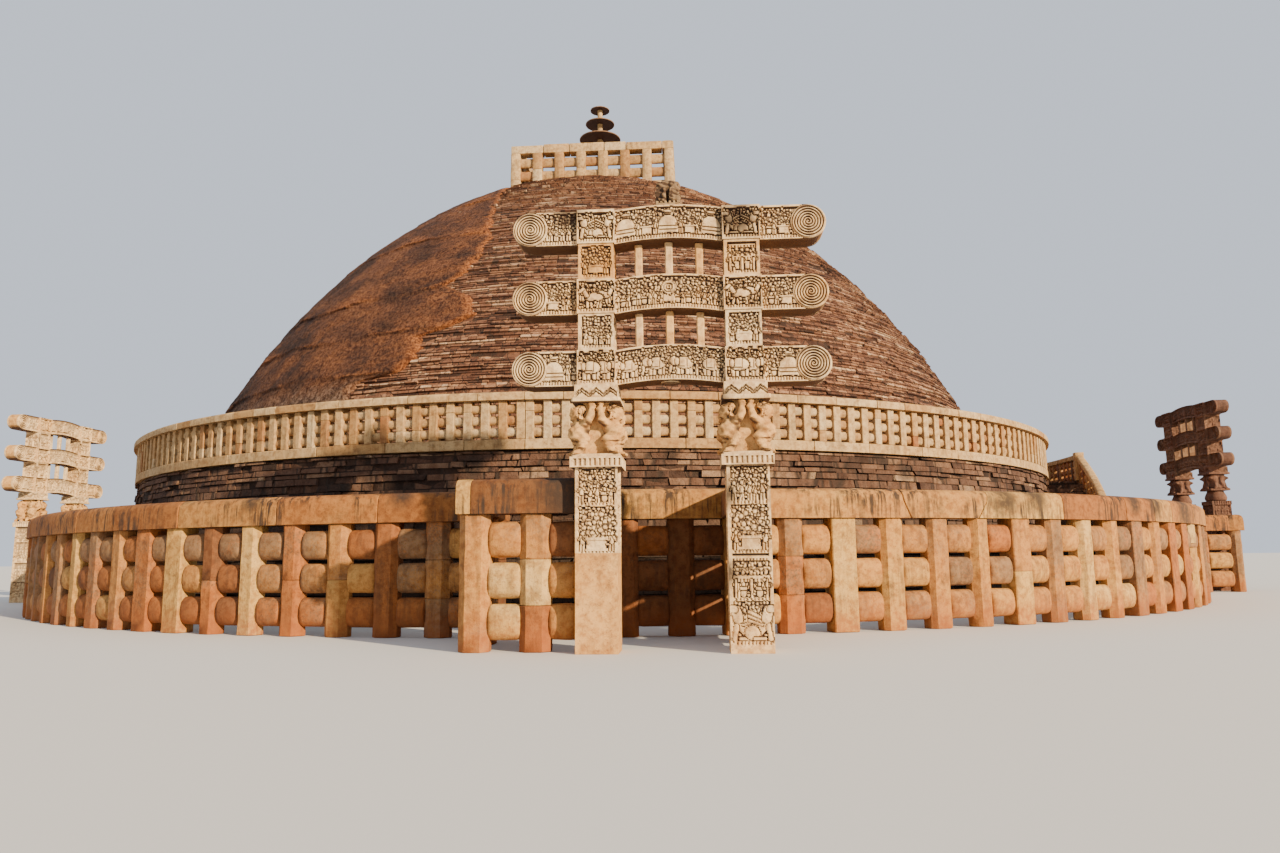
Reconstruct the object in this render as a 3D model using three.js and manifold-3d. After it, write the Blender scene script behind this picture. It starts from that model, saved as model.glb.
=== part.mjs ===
// Great stupa with its terrace, stair, railings and four gateways, as a scale model at 1:2.
// The sizes below are metres of the full-size monument. The model is in millimetres, +Z up,
// with its origin on the ground on the dome's axis. The west front faces -Y and south is +X.
import * as THREE from 'three';
import { mergeVertices } from 'three/addons/utils/BufferGeometryUtils.js';
import Module from 'manifold-3d';

const wasm = await Module();
wasm.setup();

const MODEL_SCALE = 1 / 2;
const MM_PER_METRE = 1000 * MODEL_SCALE;
const CLEARANCE = 0.001; // joint between neighbouring stones, 0.5 mm in the model
const LAP = 0.01; // how far two blocks of one piece run into each other

// Directions are turned from the west front (0 degrees) through south, east and north.
const WEST = 0;
const SOUTH = 90;
const EAST = 180;
const NORTH = 270;

const DRUM = { footRadius: 18.34, topRadius: 18.22, shoulder: 4.25, floor: 4.5, sides: 48 };
const KERB = { inner: 17.7, outer: 18.31 };
const DOME = {
  radius: 16.31,
  spring: 4.6,
  top: 17.2,
  rows: 9,
  fullHeight: 13.65, // of the whole curve, from which the flat top is cut
  bulge: 1.272,
  roundness: 2.013,
};
const TERRACE_RAILING = {
  webInner: 18.08,
  webOuter: 18.22,
  copingInner: 18.0,
  copingOuter: 18.41,
  copingBase: 5.47,
  top: 5.69,
  endJoint: 0.01, // degrees
  pieces: 16,
};
const STAIR = {
  inner: DRUM.footRadius + CLEARANCE,
  outer: 20.3,
  landingHalfAngle: 6.1,
  flightAngle: 22,
  steps: 24,
  joint: 0.003, // degrees
};
const STAIR_RAILING = {
  thickness: 0.2,
  lap: 0.04,
  slopeSeat: 0.004,
  webHeight: 0.9,
  height: 1.1,
  copingOverhang: 0.04,
  newelHalfAngle: 0.45,
  newelHeight: 1.16,
  slopePieces: 11,
};
const HARMIKA = {
  side: 7.1,
  postsPerSide: 8,
  postWidth: 0.41,
  copingBase: 19.07,
  copingWidth: 0.5,
  top: 19.42,
};
const HARMIKA_RAILS = { height: 0.44, depth: 0.3, centres: [17.49, 18.08, 18.67] };
const MAST = { radius: 0.12, top: 23.0, baseSide: 1.3, baseHeight: 0.9, sides: 20 };
const UMBRELLAS = {
  umbrella_lower: { radius: 0.98, base: 21.27, thickness: 0.2 },
  umbrella_middle: { radius: 0.69, base: 22.06, thickness: 0.18 },
  umbrella_upper: { radius: 0.46, base: 22.77, thickness: 0.16 },
};
// Corners of an umbrella's section, as shares of its radius and of its thickness.
const UMBRELLA_SECTION = [[0.98, 0], [1, 0.2], [0.97, 0.55], [0.6, 0.85]];

// The ground railing is a circle whose centre lies a little south of the dome's axis.
const RING = { centreX: 0.98, postRadius: 21.72, spacing: 3.0, copingInner: 21.42, copingOuter: 22.0 };
const GROUND_RAILING = {
  postWidth: 0.54,
  postDepth: 0.44,
  copingBase: 2.34,
  top: 2.96,
  copingWidth: 0.58,
  endOverhang: 0.78, // of the coping past the middle of an end post, in degrees
  cornerOverhang: 0.31, // of the coping past the middle of a screen's corner post
};
const GROUND_RAILS = { height: 0.64, depth: 0.34, centres: [0.5, 1.2, 1.9] };

const GATE = { pillarSpacing: 2.56, pillarWidth: 0.72 };
const GATE_FORM = {
  levels: { shaft: 3.09, abacus: 3.27, capital: 4.27, impost: 4.52 },
  widths: { abacus: 0.88, capital: 0.8, capitalHead: 0.92, impost: 0.74 },
  beamHeight: 0.62,
  rollCentre: 2.46, // of the rolled ends, from the middle of the beam
  bases: { lower: 4.52, middle: 5.79, upper: 7.06 },
};
// The south gateway has longer pillars, narrower capitals and slighter beams than the others.
const SOUTH_GATE_FORM = {
  levels: { shaft: 3.4, abacus: 3.55, capital: 4.68, impost: 4.93 },
  widths: { abacus: 0.86, capital: 0.6, capitalHead: 0.82, impost: 0.72 },
  beamHeight: 0.52,
  rollCentre: 2.14,
  bases: { lower: 4.93, middle: 5.99, upper: 7.05 },
};

// Each gateway: its centre along the front, how far its face stands out from the railing's
// centre, the posts of its screen from its own centre, and the two posts beside the gap in
// the railing. Those on the far sides repeat the west one.
const WEST_ENTRANCE = { centre: 2.8, reach: 24.94, screenPosts: [-3.44, -2.38], gap: [-0.98, 1.74] };
const SOUTH_ENTRANCE = { centre: -1.2, reach: 24.6, screenPosts: [-2.4], gap: [-3.94, -1.22] };
const ENTRANCES = [
  { name: 'west', direction: WEST, form: GATE_FORM, ...WEST_ENTRANCE },
  { name: 'south', direction: SOUTH, form: SOUTH_GATE_FORM, ...SOUTH_ENTRANCE },
  { name: 'east', direction: EAST, form: GATE_FORM, ...WEST_ENTRANCE },
  { name: 'north', direction: NORTH, form: GATE_FORM, ...WEST_ENTRANCE },
];
const SCREEN_SETBACK = 0.5; // middle of the screen behind the gateway's face

const BEAM = { thickness: 0.5, archHalf: 0.92, archRise: 0.08, dieWidth: 0.66, blockWidth: 0.62 };
const UPRIGHT = { width: 0.135, offsets: [-0.54, 0, 0.54], gap: 0.005 };
const FINIAL = { base: 0.44, baseHeight: 0.12, width: 0.4, length: 0.46, top: 8.3 };

const sandstone = new THREE.MeshStandardMaterial({ color: 0xd9b98c, roughness: 0.85, metalness: 0 });
const railingStone = new THREE.MeshStandardMaterial({ color: 0xc99a70, roughness: 0.85, metalness: 0 });
const domeStone = new THREE.MeshStandardMaterial({ color: 0x7a5546, roughness: 0.95, metalness: 0 });
const drumStone = new THREE.MeshStandardMaterial({ color: 0x5f4a40, roughness: 0.95, metalness: 0 });
const umbrellaStone = new THREE.MeshStandardMaterial({ color: 0x5a3630, roughness: 0.8, metalness: 0 });

const stupa = new THREE.Group();

// Plan geometry

function radians(degrees) {
  return THREE.MathUtils.degToRad(degrees);
}

function planPoint(radius, direction) {
  const angle = radians(direction);
  return { x: radius * Math.sin(angle), y: -radius * Math.cos(angle) };
}

function ringPoint(radius, direction) {
  const point = planPoint(radius, direction);
  return { x: RING.centreX + point.x, y: point.y };
}

function directionOf(along) {
  return THREE.MathUtils.radToDeg(Math.asin(along / RING.postRadius));
}

// From a gateway's own frame (x along its front, y inward from its face) to the plan.
function gateMatrix(entrance) {
  const matrix = new THREE.Matrix4().makeTranslation(RING.centreX, 0, 0);
  matrix.multiply(new THREE.Matrix4().makeRotationZ(radians(entrance.direction)));
  return matrix.multiply(new THREE.Matrix4().makeTranslation(entrance.centre, -entrance.reach, 0));
}

function gatePoint(entrance, x, y) {
  const point = new THREE.Vector3(x, y, 0).applyMatrix4(gateMatrix(entrance));
  return { x: point.x, y: point.y };
}

// Solids

function solidOf(geometry, matrix) {
  const bare = geometry.clone();
  bare.deleteAttribute('normal');
  bare.deleteAttribute('uv');
  if (matrix) bare.applyMatrix4(matrix);
  bare.scale(MM_PER_METRE, MM_PER_METRE, MM_PER_METRE);
  const merged = mergeVertices(bare, 1e-3);
  const vertProperties = merged.attributes.position.array;
  const triVerts = Uint32Array.from(merged.index.array);
  return new wasm.Manifold(new wasm.Mesh({ numProp: 3, vertProperties, triVerts }));
}

function joined(solids) {
  return solids.reduce((whole, next) => whole.add(next));
}

function geometryOf(solid) {
  const mesh = solid.getMesh();
  const geometry = new THREE.BufferGeometry();
  geometry.setAttribute('position', new THREE.BufferAttribute(Float32Array.from(mesh.vertProperties), 3));
  geometry.setIndex(new THREE.BufferAttribute(Uint32Array.from(mesh.triVerts), 1));
  geometry.computeVertexNormals();
  return geometry;
}

function addPiece(name, solid, material) {
  const mesh = new THREE.Mesh(geometryOf(solid), material.clone());
  mesh.name = name;
  stupa.add(mesh);
}

function box(minX, maxX, minY, maxY, minZ, maxZ, matrix) {
  const geometry = new THREE.BoxGeometry(maxX - minX, maxY - minY, maxZ - minZ);
  geometry.translate((minX + maxX) / 2, (minY + maxY) / 2, (minZ + maxZ) / 2);
  return solidOf(geometry, matrix);
}

// A block bent to a circle between two directions. Its foot and top are levels, or
// functions of how far along it they are, from 0 to 1.
function bentBlock({ inner, outer, from, to, foot, top, pieces, centreX = 0 }) {
  const level = (value, along) => (typeof value === 'function' ? value(along) : value);
  const geometry = new THREE.BoxGeometry(1, 1, 1, pieces, 1, 1);
  const position = geometry.attributes.position;
  for (let i = 0; i < position.count; i += 1) {
    const along = position.getX(i) + 0.5;
    const radius = position.getY(i) < 0 ? outer : inner;
    const point = planPoint(radius, from + (to - from) * along);
    const z = position.getZ(i) < 0 ? level(foot, along) : level(top, along);
    position.setXYZ(i, point.x + centreX, point.y, z);
  }
  return solidOf(geometry);
}

function revolved(profile, sides) {
  const points = profile.map(([radius, z]) => new THREE.Vector2(radius, z));
  const geometry = new THREE.LatheGeometry(points, sides);
  geometry.rotateX(Math.PI / 2);
  return solidOf(geometry);
}

// Railings: posts joined by lens-shaped rails into one closed surface. The edges of a rail run
// from a diamond in the side of one post to the diamond in the side of the next.

function lattice(points, railing, rails, foot) {
  const positions = [];
  const triangles = [];
  const quad = (a, b, c, d) => triangles.push(a, b, c, a, c, d);
  const halfDepth = railing.postDepth / 2;
  const top = railing.copingBase;
  const outline = [[-halfDepth, foot], [halfDepth, foot], [halfDepth, top], [-halfDepth, top]];
  const halfHeight = rails.height / 2;
  const halfRail = rails.depth / 2;
  const diamonds = rails.centres.map((z) => {
    return [[0, z - halfHeight], [halfRail, z], [0, z + halfHeight], [-halfRail, z]];
  });

  // One side of a post, its outline first and then its diamonds, as rows of vertex numbers.
  function postSide(point, side, open) {
    const loops = open ? [outline, ...diamonds] : [outline];
    const cos = Math.cos(point.turn);
    const sin = Math.sin(point.turn);
    const along = (side * railing.postWidth) / 2;
    const rows = loops.map((loop) => loop.map(([inward, z]) => {
      positions.push(point.x + along * cos - inward * sin, point.y + along * sin + inward * cos, z);
      return positions.length / 3 - 1;
    }));
    const flat = rows.flat();
    const [contour, ...holes] = loops.map((loop) => loop.map(([inward, z]) => new THREE.Vector2(inward, z)));
    for (const [a, b, c] of THREE.ShapeUtils.triangulateShape(contour, holes)) {
      if (side > 0) triangles.push(flat[a], flat[b], flat[c]);
      else triangles.push(flat[a], flat[c], flat[b]);
    }
    return rows;
  }

  let previous = null;
  points.forEach((point, i) => {
    const [left, ...leftDiamonds] = postSide(point, -1, i > 0);
    const [right, ...rightDiamonds] = postSide(point, 1, i < points.length - 1);
    quad(left[0], right[0], right[3], left[3]);
    quad(right[1], left[1], left[2], right[2]);
    quad(left[3], right[3], right[2], left[2]);
    quad(left[1], right[1], right[0], left[0]);
    leftDiamonds.forEach((end, row) => {
      const start = previous[row];
      for (let k = 0; k < 4; k += 1) quad(start[k], start[(k + 1) % 4], end[(k + 1) % 4], end[k]);
    });
    previous = rightDiamonds;
  });
  const geometry = new THREE.BufferGeometry();
  geometry.setAttribute('position', new THREE.Float32BufferAttribute(positions, 3));
  geometry.setIndex(triangles);
  return solidOf(geometry);
}

// Three rails from the middle of a post towards another point, stopped short by endTrim.
function openRails(start, end, endTrim, rails) {
  const dx = end.x - start.x;
  const dy = end.y - start.y;
  const span = Math.hypot(dx, dy);
  const length = span - endTrim;
  return rails.centres.map((centre) => {
    const geometry = new THREE.CylinderGeometry(0.5, 0.5, 1, 4);
    geometry.rotateZ(Math.PI / 2);
    geometry.scale(length, rails.depth, rails.height);
    geometry.rotateZ(Math.atan2(dy, dx));
    const share = length / 2 / span;
    geometry.translate(start.x + dx * share, start.y + dy * share, centre);
    return solidOf(geometry);
  });
}

// Terrace and dome

function addTerrace() {
  const { footRadius, topRadius, shoulder, floor, sides } = DRUM;
  const coreRadius = KERB.inner - CLEARANCE;
  const wall = [[0, 0], [footRadius, 0], [topRadius, shoulder]];
  const core = [[coreRadius, shoulder], [coreRadius, floor], [0, floor]];
  addPiece('terrace_drum', revolved([...wall, ...core], sides), drumStone);
  const kerbFoot = [[KERB.inner, shoulder], [KERB.outer, shoulder]];
  const kerbProfile = [...kerbFoot, [KERB.outer, floor], [KERB.inner, floor], kerbFoot[0]];
  addPiece('terrace_kerb', revolved(kerbProfile, sides), sandstone);
}

function domeRadius(z) {
  const rise = Math.max(z - DOME.spring, 0) / DOME.fullHeight;
  return DOME.radius * (1 - rise ** DOME.bulge) ** (1 / DOME.roundness);
}

function addDome() {
  const profile = [[0, DRUM.floor], [DOME.radius, DRUM.floor]];
  for (let row = 0; row <= DOME.rows; row += 1) {
    const share = Math.sin((row / DOME.rows) * (Math.PI / 2));
    const z = DOME.spring + share * (DOME.top - DOME.spring);
    profile.push([domeRadius(z), z]);
  }
  profile.push([0, DOME.top]);
  addPiece('dome', revolved(profile, DRUM.sides), domeStone);
}

function addTerraceRailing() {
  const { webInner, webOuter, copingInner, copingOuter, copingBase, top, endJoint, pieces } = TERRACE_RAILING;
  const quarters = {
    southwest: [WEST, SOUTH - STAIR.landingHalfAngle],
    southeast: [SOUTH + STAIR.landingHalfAngle, EAST],
    northeast: [EAST, NORTH],
    northwest: [NORTH, WEST + 360],
  };
  for (const [name, [start, end]] of Object.entries(quarters)) {
    const span = { from: start + endJoint, to: end - endJoint, pieces };
    const webTop = copingBase + LAP;
    const web = bentBlock({ ...span, inner: webInner, outer: webOuter, foot: DRUM.floor, top: webTop });
    const coping = bentBlock({ ...span, inner: copingInner, outer: copingOuter, foot: copingBase, top });
    addPiece(`terrace_railing_${name}`, joined([web, coping]), sandstone);
  }
}

// South stair: a landing against the terrace with a flight down each way along the drum.

const FLIGHTS = { west: -1, east: 1 };

function stairSpan(side, near, far) {
  const ends = [SOUTH + side * near, SOUTH + side * far];
  return { from: Math.min(...ends), to: Math.max(...ends) };
}

// Height of the nosing line, from the landing (0) down to the foot of the flight (1).
function stairLine(down) {
  return DRUM.floor * (1 - down * (STAIR.steps / (STAIR.steps + 1)));
}

function addStair() {
  const { inner, outer, landingHalfAngle, flightAngle, steps } = STAIR;
  const landing = { inner, outer, ...stairSpan(1, -landingHalfAngle, landingHalfAngle) };
  addPiece('stair_landing', bentBlock({ ...landing, foot: 0, top: DRUM.floor, pieces: 4 }), drumStone);
  const stringerInner = outer - STAIR_RAILING.thickness;
  const start = landingHalfAngle + STAIR.joint;
  for (const [name, side] of Object.entries(FLIGHTS)) {
    const downward = (along) => (side > 0 ? along : 1 - along);
    const blocks = [];
    for (let step = 0; step < steps; step += 1) {
      const near = start + (step * flightAngle) / steps;
      const span = stairSpan(side, near, near + flightAngle / steps);
      const top = DRUM.floor * (1 - (step + 1) / (steps + 1));
      const stepOuter = stringerInner + STAIR_RAILING.lap;
      blocks.push(bentBlock({ ...span, inner, outer: stepOuter, foot: 0, top, pieces: 1 }));
    }
    const flight = { ...stairSpan(side, start, start + flightAngle), inner: stringerInner, outer };
    const slope = (along) => stairLine(downward(along));
    blocks.push(bentBlock({ ...flight, foot: 0, top: slope, pieces: STAIR_RAILING.slopePieces }));
    addPiece(`stair_flight_${name}`, joined(blocks), drumStone);
    addPiece(`stair_railing_${name}`, stairRailing(side, start, downward), sandstone);
  }
}

// One half of the stair's parapet: half of the landing, then the slope beside the flight.
function stairRailing(side, start, downward) {
  const { thickness, lap, slopeSeat, webHeight, height, copingOverhang, slopePieces } = STAIR_RAILING;
  const web = { outer: STAIR.outer, inner: STAIR.outer - thickness };
  const coping = { outer: web.outer + copingOverhang, inner: web.inner - copingOverhang };
  const level = stairSpan(side, STAIR.joint / 2, start);
  const slope = stairSpan(side, start, start + STAIR.flightAngle);
  const line = (rise) => (along) => stairLine(downward(along)) + rise;
  const { newelHalfAngle, newelHeight } = STAIR_RAILING;
  const newel = {
    ...stairSpan(side, start - newelHalfAngle, start + newelHalfAngle),
    outer: coping.outer + copingOverhang,
    inner: coping.inner - copingOverhang,
  };
  const floor = DRUM.floor;
  const seat = floor + CLEARANCE;
  return joined([
    bentBlock({ ...newel, foot: seat, top: floor + newelHeight, pieces: 1 }),
    bentBlock({ ...level, ...web, foot: seat, top: floor + webHeight + lap, pieces: 2 }),
    bentBlock({ ...level, ...coping, foot: floor + webHeight, top: floor + height, pieces: 2 }),
    bentBlock({ ...slope, ...web, foot: line(slopeSeat), top: line(webHeight + lap), pieces: slopePieces }),
    bentBlock({ ...slope, ...coping, foot: line(webHeight), top: line(height), pieces: slopePieces }),
  ]);
}

// Square railing on the summit, with the mast and its three umbrellas

function addHarmika() {
  const { side, postsPerSide, postWidth, copingBase, top, copingWidth } = HARMIKA;
  const half = (side - postWidth) / 2;
  const spacing = (2 * half) / (postsPerSide - 1);
  const railing = { postWidth, postDepth: postWidth, copingBase };
  const sides = { west: WEST, south: SOUTH, east: EAST, north: NORTH };
  const endTrim = postWidth / 2 + CLEARANCE;
  for (const [name, direction] of Object.entries(sides)) {
    const turn = new THREE.Matrix4().makeRotationZ(radians(direction));
    const points = Array.from({ length: postsPerSide }, (_, i) => {
      const place = new THREE.Vector3(-half + i * spacing, -half, 0).applyMatrix4(turn);
      return { x: place.x, y: place.y, turn: radians(direction) };
    });
    const corner = points.pop();
    const bays = lattice(points, railing, HARMIKA_RAILS, DOME.top);
    const lastRails = openRails(points.at(-1), corner, endTrim, HARMIKA_RAILS);
    addPiece(`harmika_railing_${name}`, joined([bays, ...lastRails]), sandstone);
  }
  const outside = side / 2;
  const inside = outside - copingWidth;
  const whole = box(-outside, outside, -outside, outside, copingBase, top);
  const middle = box(-inside, inside, -inside, inside, copingBase - copingWidth, top + copingWidth);
  addPiece('harmika_coping', whole.subtract(middle), sandstone);
}

function addMast() {
  const { radius, top, baseSide, baseHeight } = MAST;
  const half = baseSide / 2;
  const base = box(-half, half, -half, half, DOME.top, DOME.top + baseHeight);
  const shaftFoot = DOME.top + baseHeight / 2;
  const shaft = revolved([[0, shaftFoot], [radius, shaftFoot], [radius, top], [0, top]], MAST.sides);
  addPiece('mast', base.add(shaft), sandstone);
  const bore = radius + CLEARANCE;
  for (const [name, disc] of Object.entries(UMBRELLAS)) {
    const section = UMBRELLA_SECTION.map(([out, up]) => [disc.radius * out, disc.base + disc.thickness * up]);
    const profile = [[bore, disc.base], ...section, [bore, disc.base + disc.thickness], [bore, disc.base]];
    addPiece(name, revolved(profile, MAST.sides), umbrellaStone);
  }
}

// Ground railing: one run of posts from each gap in the circle to the next, in two panels,
// with the returns that tie the gateways and their screens to it.

function addGroundRailing() {
  ENTRANCES.forEach((entrance, i) => {
    const next = ENTRANCES[(i + 1) % ENTRANCES.length];
    const start = entrance.direction + directionOf(entrance.gap[1]);
    let end = next.direction + directionOf(next.gap[0]);
    if (end < start) end += 360;
    const bays = Math.round((end - start) / RING.spacing);
    const points = Array.from({ length: bays + 1 }, (_, k) => {
      const direction = start + ((end - start) * k) / bays;
      return { ...ringPoint(RING.postRadius, direction), turn: radians(direction) };
    });
    const split = Math.ceil(bays / 2);
    const askew = (GROUND_RAILS.depth / 2) * Math.tan(radians(RING.spacing / 2));
    const endTrim = GROUND_RAILING.postWidth / 2 + askew + CLEARANCE;
    const gateReturn = returnToGate(entrance, points);
    const screen = screenBeside(next, points[bays]);
    const first = [
      lattice(points.slice(0, split), GROUND_RAILING, GROUND_RAILS, 0),
      ...openRails(points[split - 1], points[split], endTrim, GROUND_RAILS),
      ...gateReturn.solids,
    ];
    const second = [lattice(points.slice(split), GROUND_RAILING, GROUND_RAILS, 0), ...screen.solids];
    const label = `${entrance.name}_to_${next.name}`;
    addPiece(`ground_railing_${label}_a`, joined(first), railingStone);
    addPiece(`ground_railing_${label}_b`, joined(second), railingStone);
    addPiece(`ground_coping_${label}`, groundCoping(start, end, bays, gateReturn, screen), railingStone);
  });
}

// From the circle's nearest post straight out to the back of the gateway's right pillar.
function returnToGate(entrance, points) {
  const pillarX = GATE.pillarSpacing / 2;
  const pillar = gatePoint(entrance, pillarX, GATE.pillarWidth / 2);
  const distance = (point) => Math.hypot(point.x - pillar.x, point.y - pillar.y);
  const nearest = points.reduce((best, point) => (distance(point) < distance(best) ? point : best));
  const turn = radians(entrance.direction + 90);
  const middle = { x: (nearest.x + pillar.x) / 2, y: (nearest.y + pillar.y) / 2, turn };
  const outward = Math.hypot(pillar.x - nearest.x, pillar.y - nearest.y);
  const back = gatePoint(entrance, pillarX, GATE.pillarWidth / 2 + outward);
  const askew = Math.asin(Math.hypot(back.x - nearest.x, back.y - nearest.y) / outward);
  const copingCorner = (GROUND_RAILING.copingWidth / 2) * Math.tan(askew);
  const endTrim = GATE.pillarWidth / 2 / Math.cos(askew) + copingCorner + CLEARANCE;
  const solids = [
    lattice([middle], GROUND_RAILING, GROUND_RAILS, 0),
    ...openRails(nearest, middle, 0, GROUND_RAILS),
    ...openRails(middle, pillar, endTrim, GROUND_RAILS),
  ];
  return { solids, from: nearest, to: pillar, endTrim };
}

// From the circle's last post out to the screen's corner, then along the screen to the pillar.
function screenBeside(entrance, last) {
  const turnOut = radians(entrance.direction + 90);
  const turnAlong = radians(entrance.direction);
  const posts = entrance.screenPosts.map((x) => {
    return { ...gatePoint(entrance, x, SCREEN_SETBACK), turn: turnAlong };
  });
  const corner = posts[0];
  const middle = { x: (last.x + corner.x) / 2, y: (last.y + corner.y) / 2, turn: turnOut };
  const pillar = gatePoint(entrance, -GATE.pillarSpacing / 2, SCREEN_SETBACK);
  const endTrim = GATE.pillarWidth / 2 + CLEARANCE;
  const solids = [
    lattice([middle], GROUND_RAILING, GROUND_RAILS, 0),
    ...openRails(last, middle, 0, GROUND_RAILS),
    ...openRails(middle, corner, 0, GROUND_RAILS),
    lattice(posts, GROUND_RAILING, GROUND_RAILS, 0),
    ...openRails(posts.at(-1), pillar, endTrim, GROUND_RAILS),
  ];
  return { solids, last, corner, pillar, endTrim };
}

function straightCoping(start, end, startExtra, endExtra) {
  const span = Math.hypot(end.x - start.x, end.y - start.y);
  const { copingWidth, copingBase, top } = GROUND_RAILING;
  const turn = Math.atan2(end.y - start.y, end.x - start.x);
  const matrix = new THREE.Matrix4().makeTranslation(start.x, start.y, 0);
  matrix.multiply(new THREE.Matrix4().makeRotationZ(turn));
  return box(-startExtra, span + endExtra, -copingWidth / 2, copingWidth / 2, copingBase, top, matrix);
}

function groundCoping(start, end, bays, gateReturn, screen) {
  const arc = bentBlock({
    inner: RING.copingInner,
    outer: RING.copingOuter,
    from: start - GROUND_RAILING.endOverhang,
    to: end + GROUND_RAILING.endOverhang,
    foot: GROUND_RAILING.copingBase,
    top: GROUND_RAILING.top,
    pieces: bays,
    centreX: RING.centreX,
  });
  return joined([
    arc,
    straightCoping(gateReturn.from, gateReturn.to, 0, -gateReturn.endTrim),
    straightCoping(screen.last, screen.corner, 0, 0),
    straightCoping(screen.corner, screen.pillar, GROUND_RAILING.cornerOverhang, -screen.endTrim),
  ]);
}

// Gateways: two pillars with capitals, three beams with rolled ends, and on the upper beam of
// the west one the stump of a carved animal.

function archLift(x) {
  const share = Math.min(Math.abs(x) / BEAM.archHalf, 1);
  return BEAM.archRise * (1 - share * share);
}

function addPillar(name, form, x, matrix) {
  const centred = (width, foot, top) => {
    const half = width / 2;
    const middle = GATE.pillarWidth / 2;
    return box(x - half, x + half, middle - half, middle + half, foot, top, matrix);
  };
  const { shaft, abacus, capital, impost } = form.levels;
  const { widths } = form;
  const capitalMiddle = (abacus + capital) / 2;
  addPiece(name, joined([
    centred(GATE.pillarWidth, 0, shaft + LAP),
    centred(widths.abacus, shaft, abacus + LAP),
    centred(widths.capital, abacus, capitalMiddle + LAP),
    centred(widths.capitalHead, capitalMiddle, capital + LAP),
    centred(widths.impost, capital, impost),
  ]), sandstone);
}

function beamOutline(form) {
  const { archHalf, archRise } = BEAM;
  const { beamHeight: height, rollCentre } = form;
  const shape = new THREE.Shape();
  shape.moveTo(-rollCentre, 0);
  shape.lineTo(-archHalf, 0);
  shape.quadraticCurveTo(0, 2 * archRise, archHalf, 0);
  shape.lineTo(rollCentre, 0);
  shape.absarc(rollCentre, height / 2, height / 2, -Math.PI / 2, Math.PI / 2, false);
  shape.lineTo(archHalf, height);
  shape.quadraticCurveTo(0, height + 2 * archRise, -archHalf, height);
  shape.lineTo(-rollCentre, height);
  shape.absarc(-rollCentre, height / 2, height / 2, Math.PI / 2, (3 * Math.PI) / 2, false);
  return shape;
}

function addBeam(name, form, base, nextBase, matrix) {
  const { thickness, dieWidth } = BEAM;
  const middle = GATE.pillarWidth / 2;
  const extrusion = { depth: thickness, bevelEnabled: false, curveSegments: 4 };
  const body = new THREE.ExtrudeGeometry(beamOutline(form), extrusion);
  body.rotateX(Math.PI / 2);
  body.translate(0, middle + thickness / 2, base);
  const solids = [solidOf(body, matrix)];
  const squarePost = (x, width, foot, top) => {
    const half = width / 2;
    return box(x - half, x + half, middle - half, middle + half, foot, top, matrix);
  };
  const crown = base + form.beamHeight;
  for (const side of [-1, 1]) {
    const x = (side * GATE.pillarSpacing) / 2;
    solids.push(squarePost(x, dieWidth, base, crown));
    if (nextBase) solids.push(squarePost(x, BEAM.blockWidth, crown - LAP, nextBase));
  }
  if (nextBase) {
    for (const x of UPRIGHT.offsets) {
      const lift = archLift(Math.abs(x) + UPRIGHT.width / 2);
      solids.push(squarePost(x, UPRIGHT.width, crown - LAP, nextBase + lift - UPRIGHT.gap));
    }
  }
  addPiece(name, joined(solids), sandstone);
}

function addGateways() {
  for (const entrance of ENTRANCES) {
    const { form } = entrance;
    const matrix = gateMatrix(entrance);
    const gate = `gateway_${entrance.name}`;
    addPillar(`${gate}_left_pillar`, form, -GATE.pillarSpacing / 2, matrix);
    addPillar(`${gate}_right_pillar`, form, GATE.pillarSpacing / 2, matrix);
    const bases = Object.values(form.bases);
    Object.keys(form.bases).forEach((level, i) => {
      addBeam(`${gate}_${level}_beam`, form, bases[i], bases[i + 1], matrix);
    });
  }
}

function addFinial() {
  const matrix = gateMatrix(ENTRANCES[0]);
  const middle = GATE.pillarWidth / 2;
  const foot = GATE_FORM.bases.upper + GATE_FORM.beamHeight + BEAM.archRise + CLEARANCE;
  const { base, baseHeight, width, length, top } = FINIAL;
  const centred = (across, deep, low, high) => {
    return box(-across / 2, across / 2, middle - deep / 2, middle + deep / 2, low, high, matrix);
  };
  const plinth = centred(base, base, foot, foot + baseHeight);
  const body = centred(width, length, foot + baseHeight / 2, top);
  addPiece('gateway_west_finial', plinth.add(body), sandstone);
}

addTerrace();
addDome();
addTerraceRailing();
addStair();
addHarmika();
addMast();
addGroundRailing();
addGateways();
addFinial();

export default stupa;
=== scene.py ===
"""Looks of the stupa, a scale model at 1:2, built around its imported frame."""
import math
import random

import bmesh
import bpy
import numpy as np
from mathutils import Matrix, Vector


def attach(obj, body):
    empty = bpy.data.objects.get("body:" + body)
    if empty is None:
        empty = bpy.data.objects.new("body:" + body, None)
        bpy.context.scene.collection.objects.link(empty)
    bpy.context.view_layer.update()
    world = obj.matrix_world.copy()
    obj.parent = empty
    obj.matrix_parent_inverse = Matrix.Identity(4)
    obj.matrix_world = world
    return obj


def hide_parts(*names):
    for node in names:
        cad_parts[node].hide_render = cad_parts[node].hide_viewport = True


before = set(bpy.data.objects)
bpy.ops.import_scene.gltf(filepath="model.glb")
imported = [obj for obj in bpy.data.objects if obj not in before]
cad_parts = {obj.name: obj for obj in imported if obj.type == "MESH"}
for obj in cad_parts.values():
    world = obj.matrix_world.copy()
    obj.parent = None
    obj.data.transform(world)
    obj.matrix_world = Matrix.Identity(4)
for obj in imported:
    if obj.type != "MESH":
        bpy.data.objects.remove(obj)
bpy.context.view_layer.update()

# Sizes below are metres of the real monument, like those of the frame's source. M turns them
# into the model's metres. Directions are degrees from the west front through south.
M = 0.5

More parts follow.
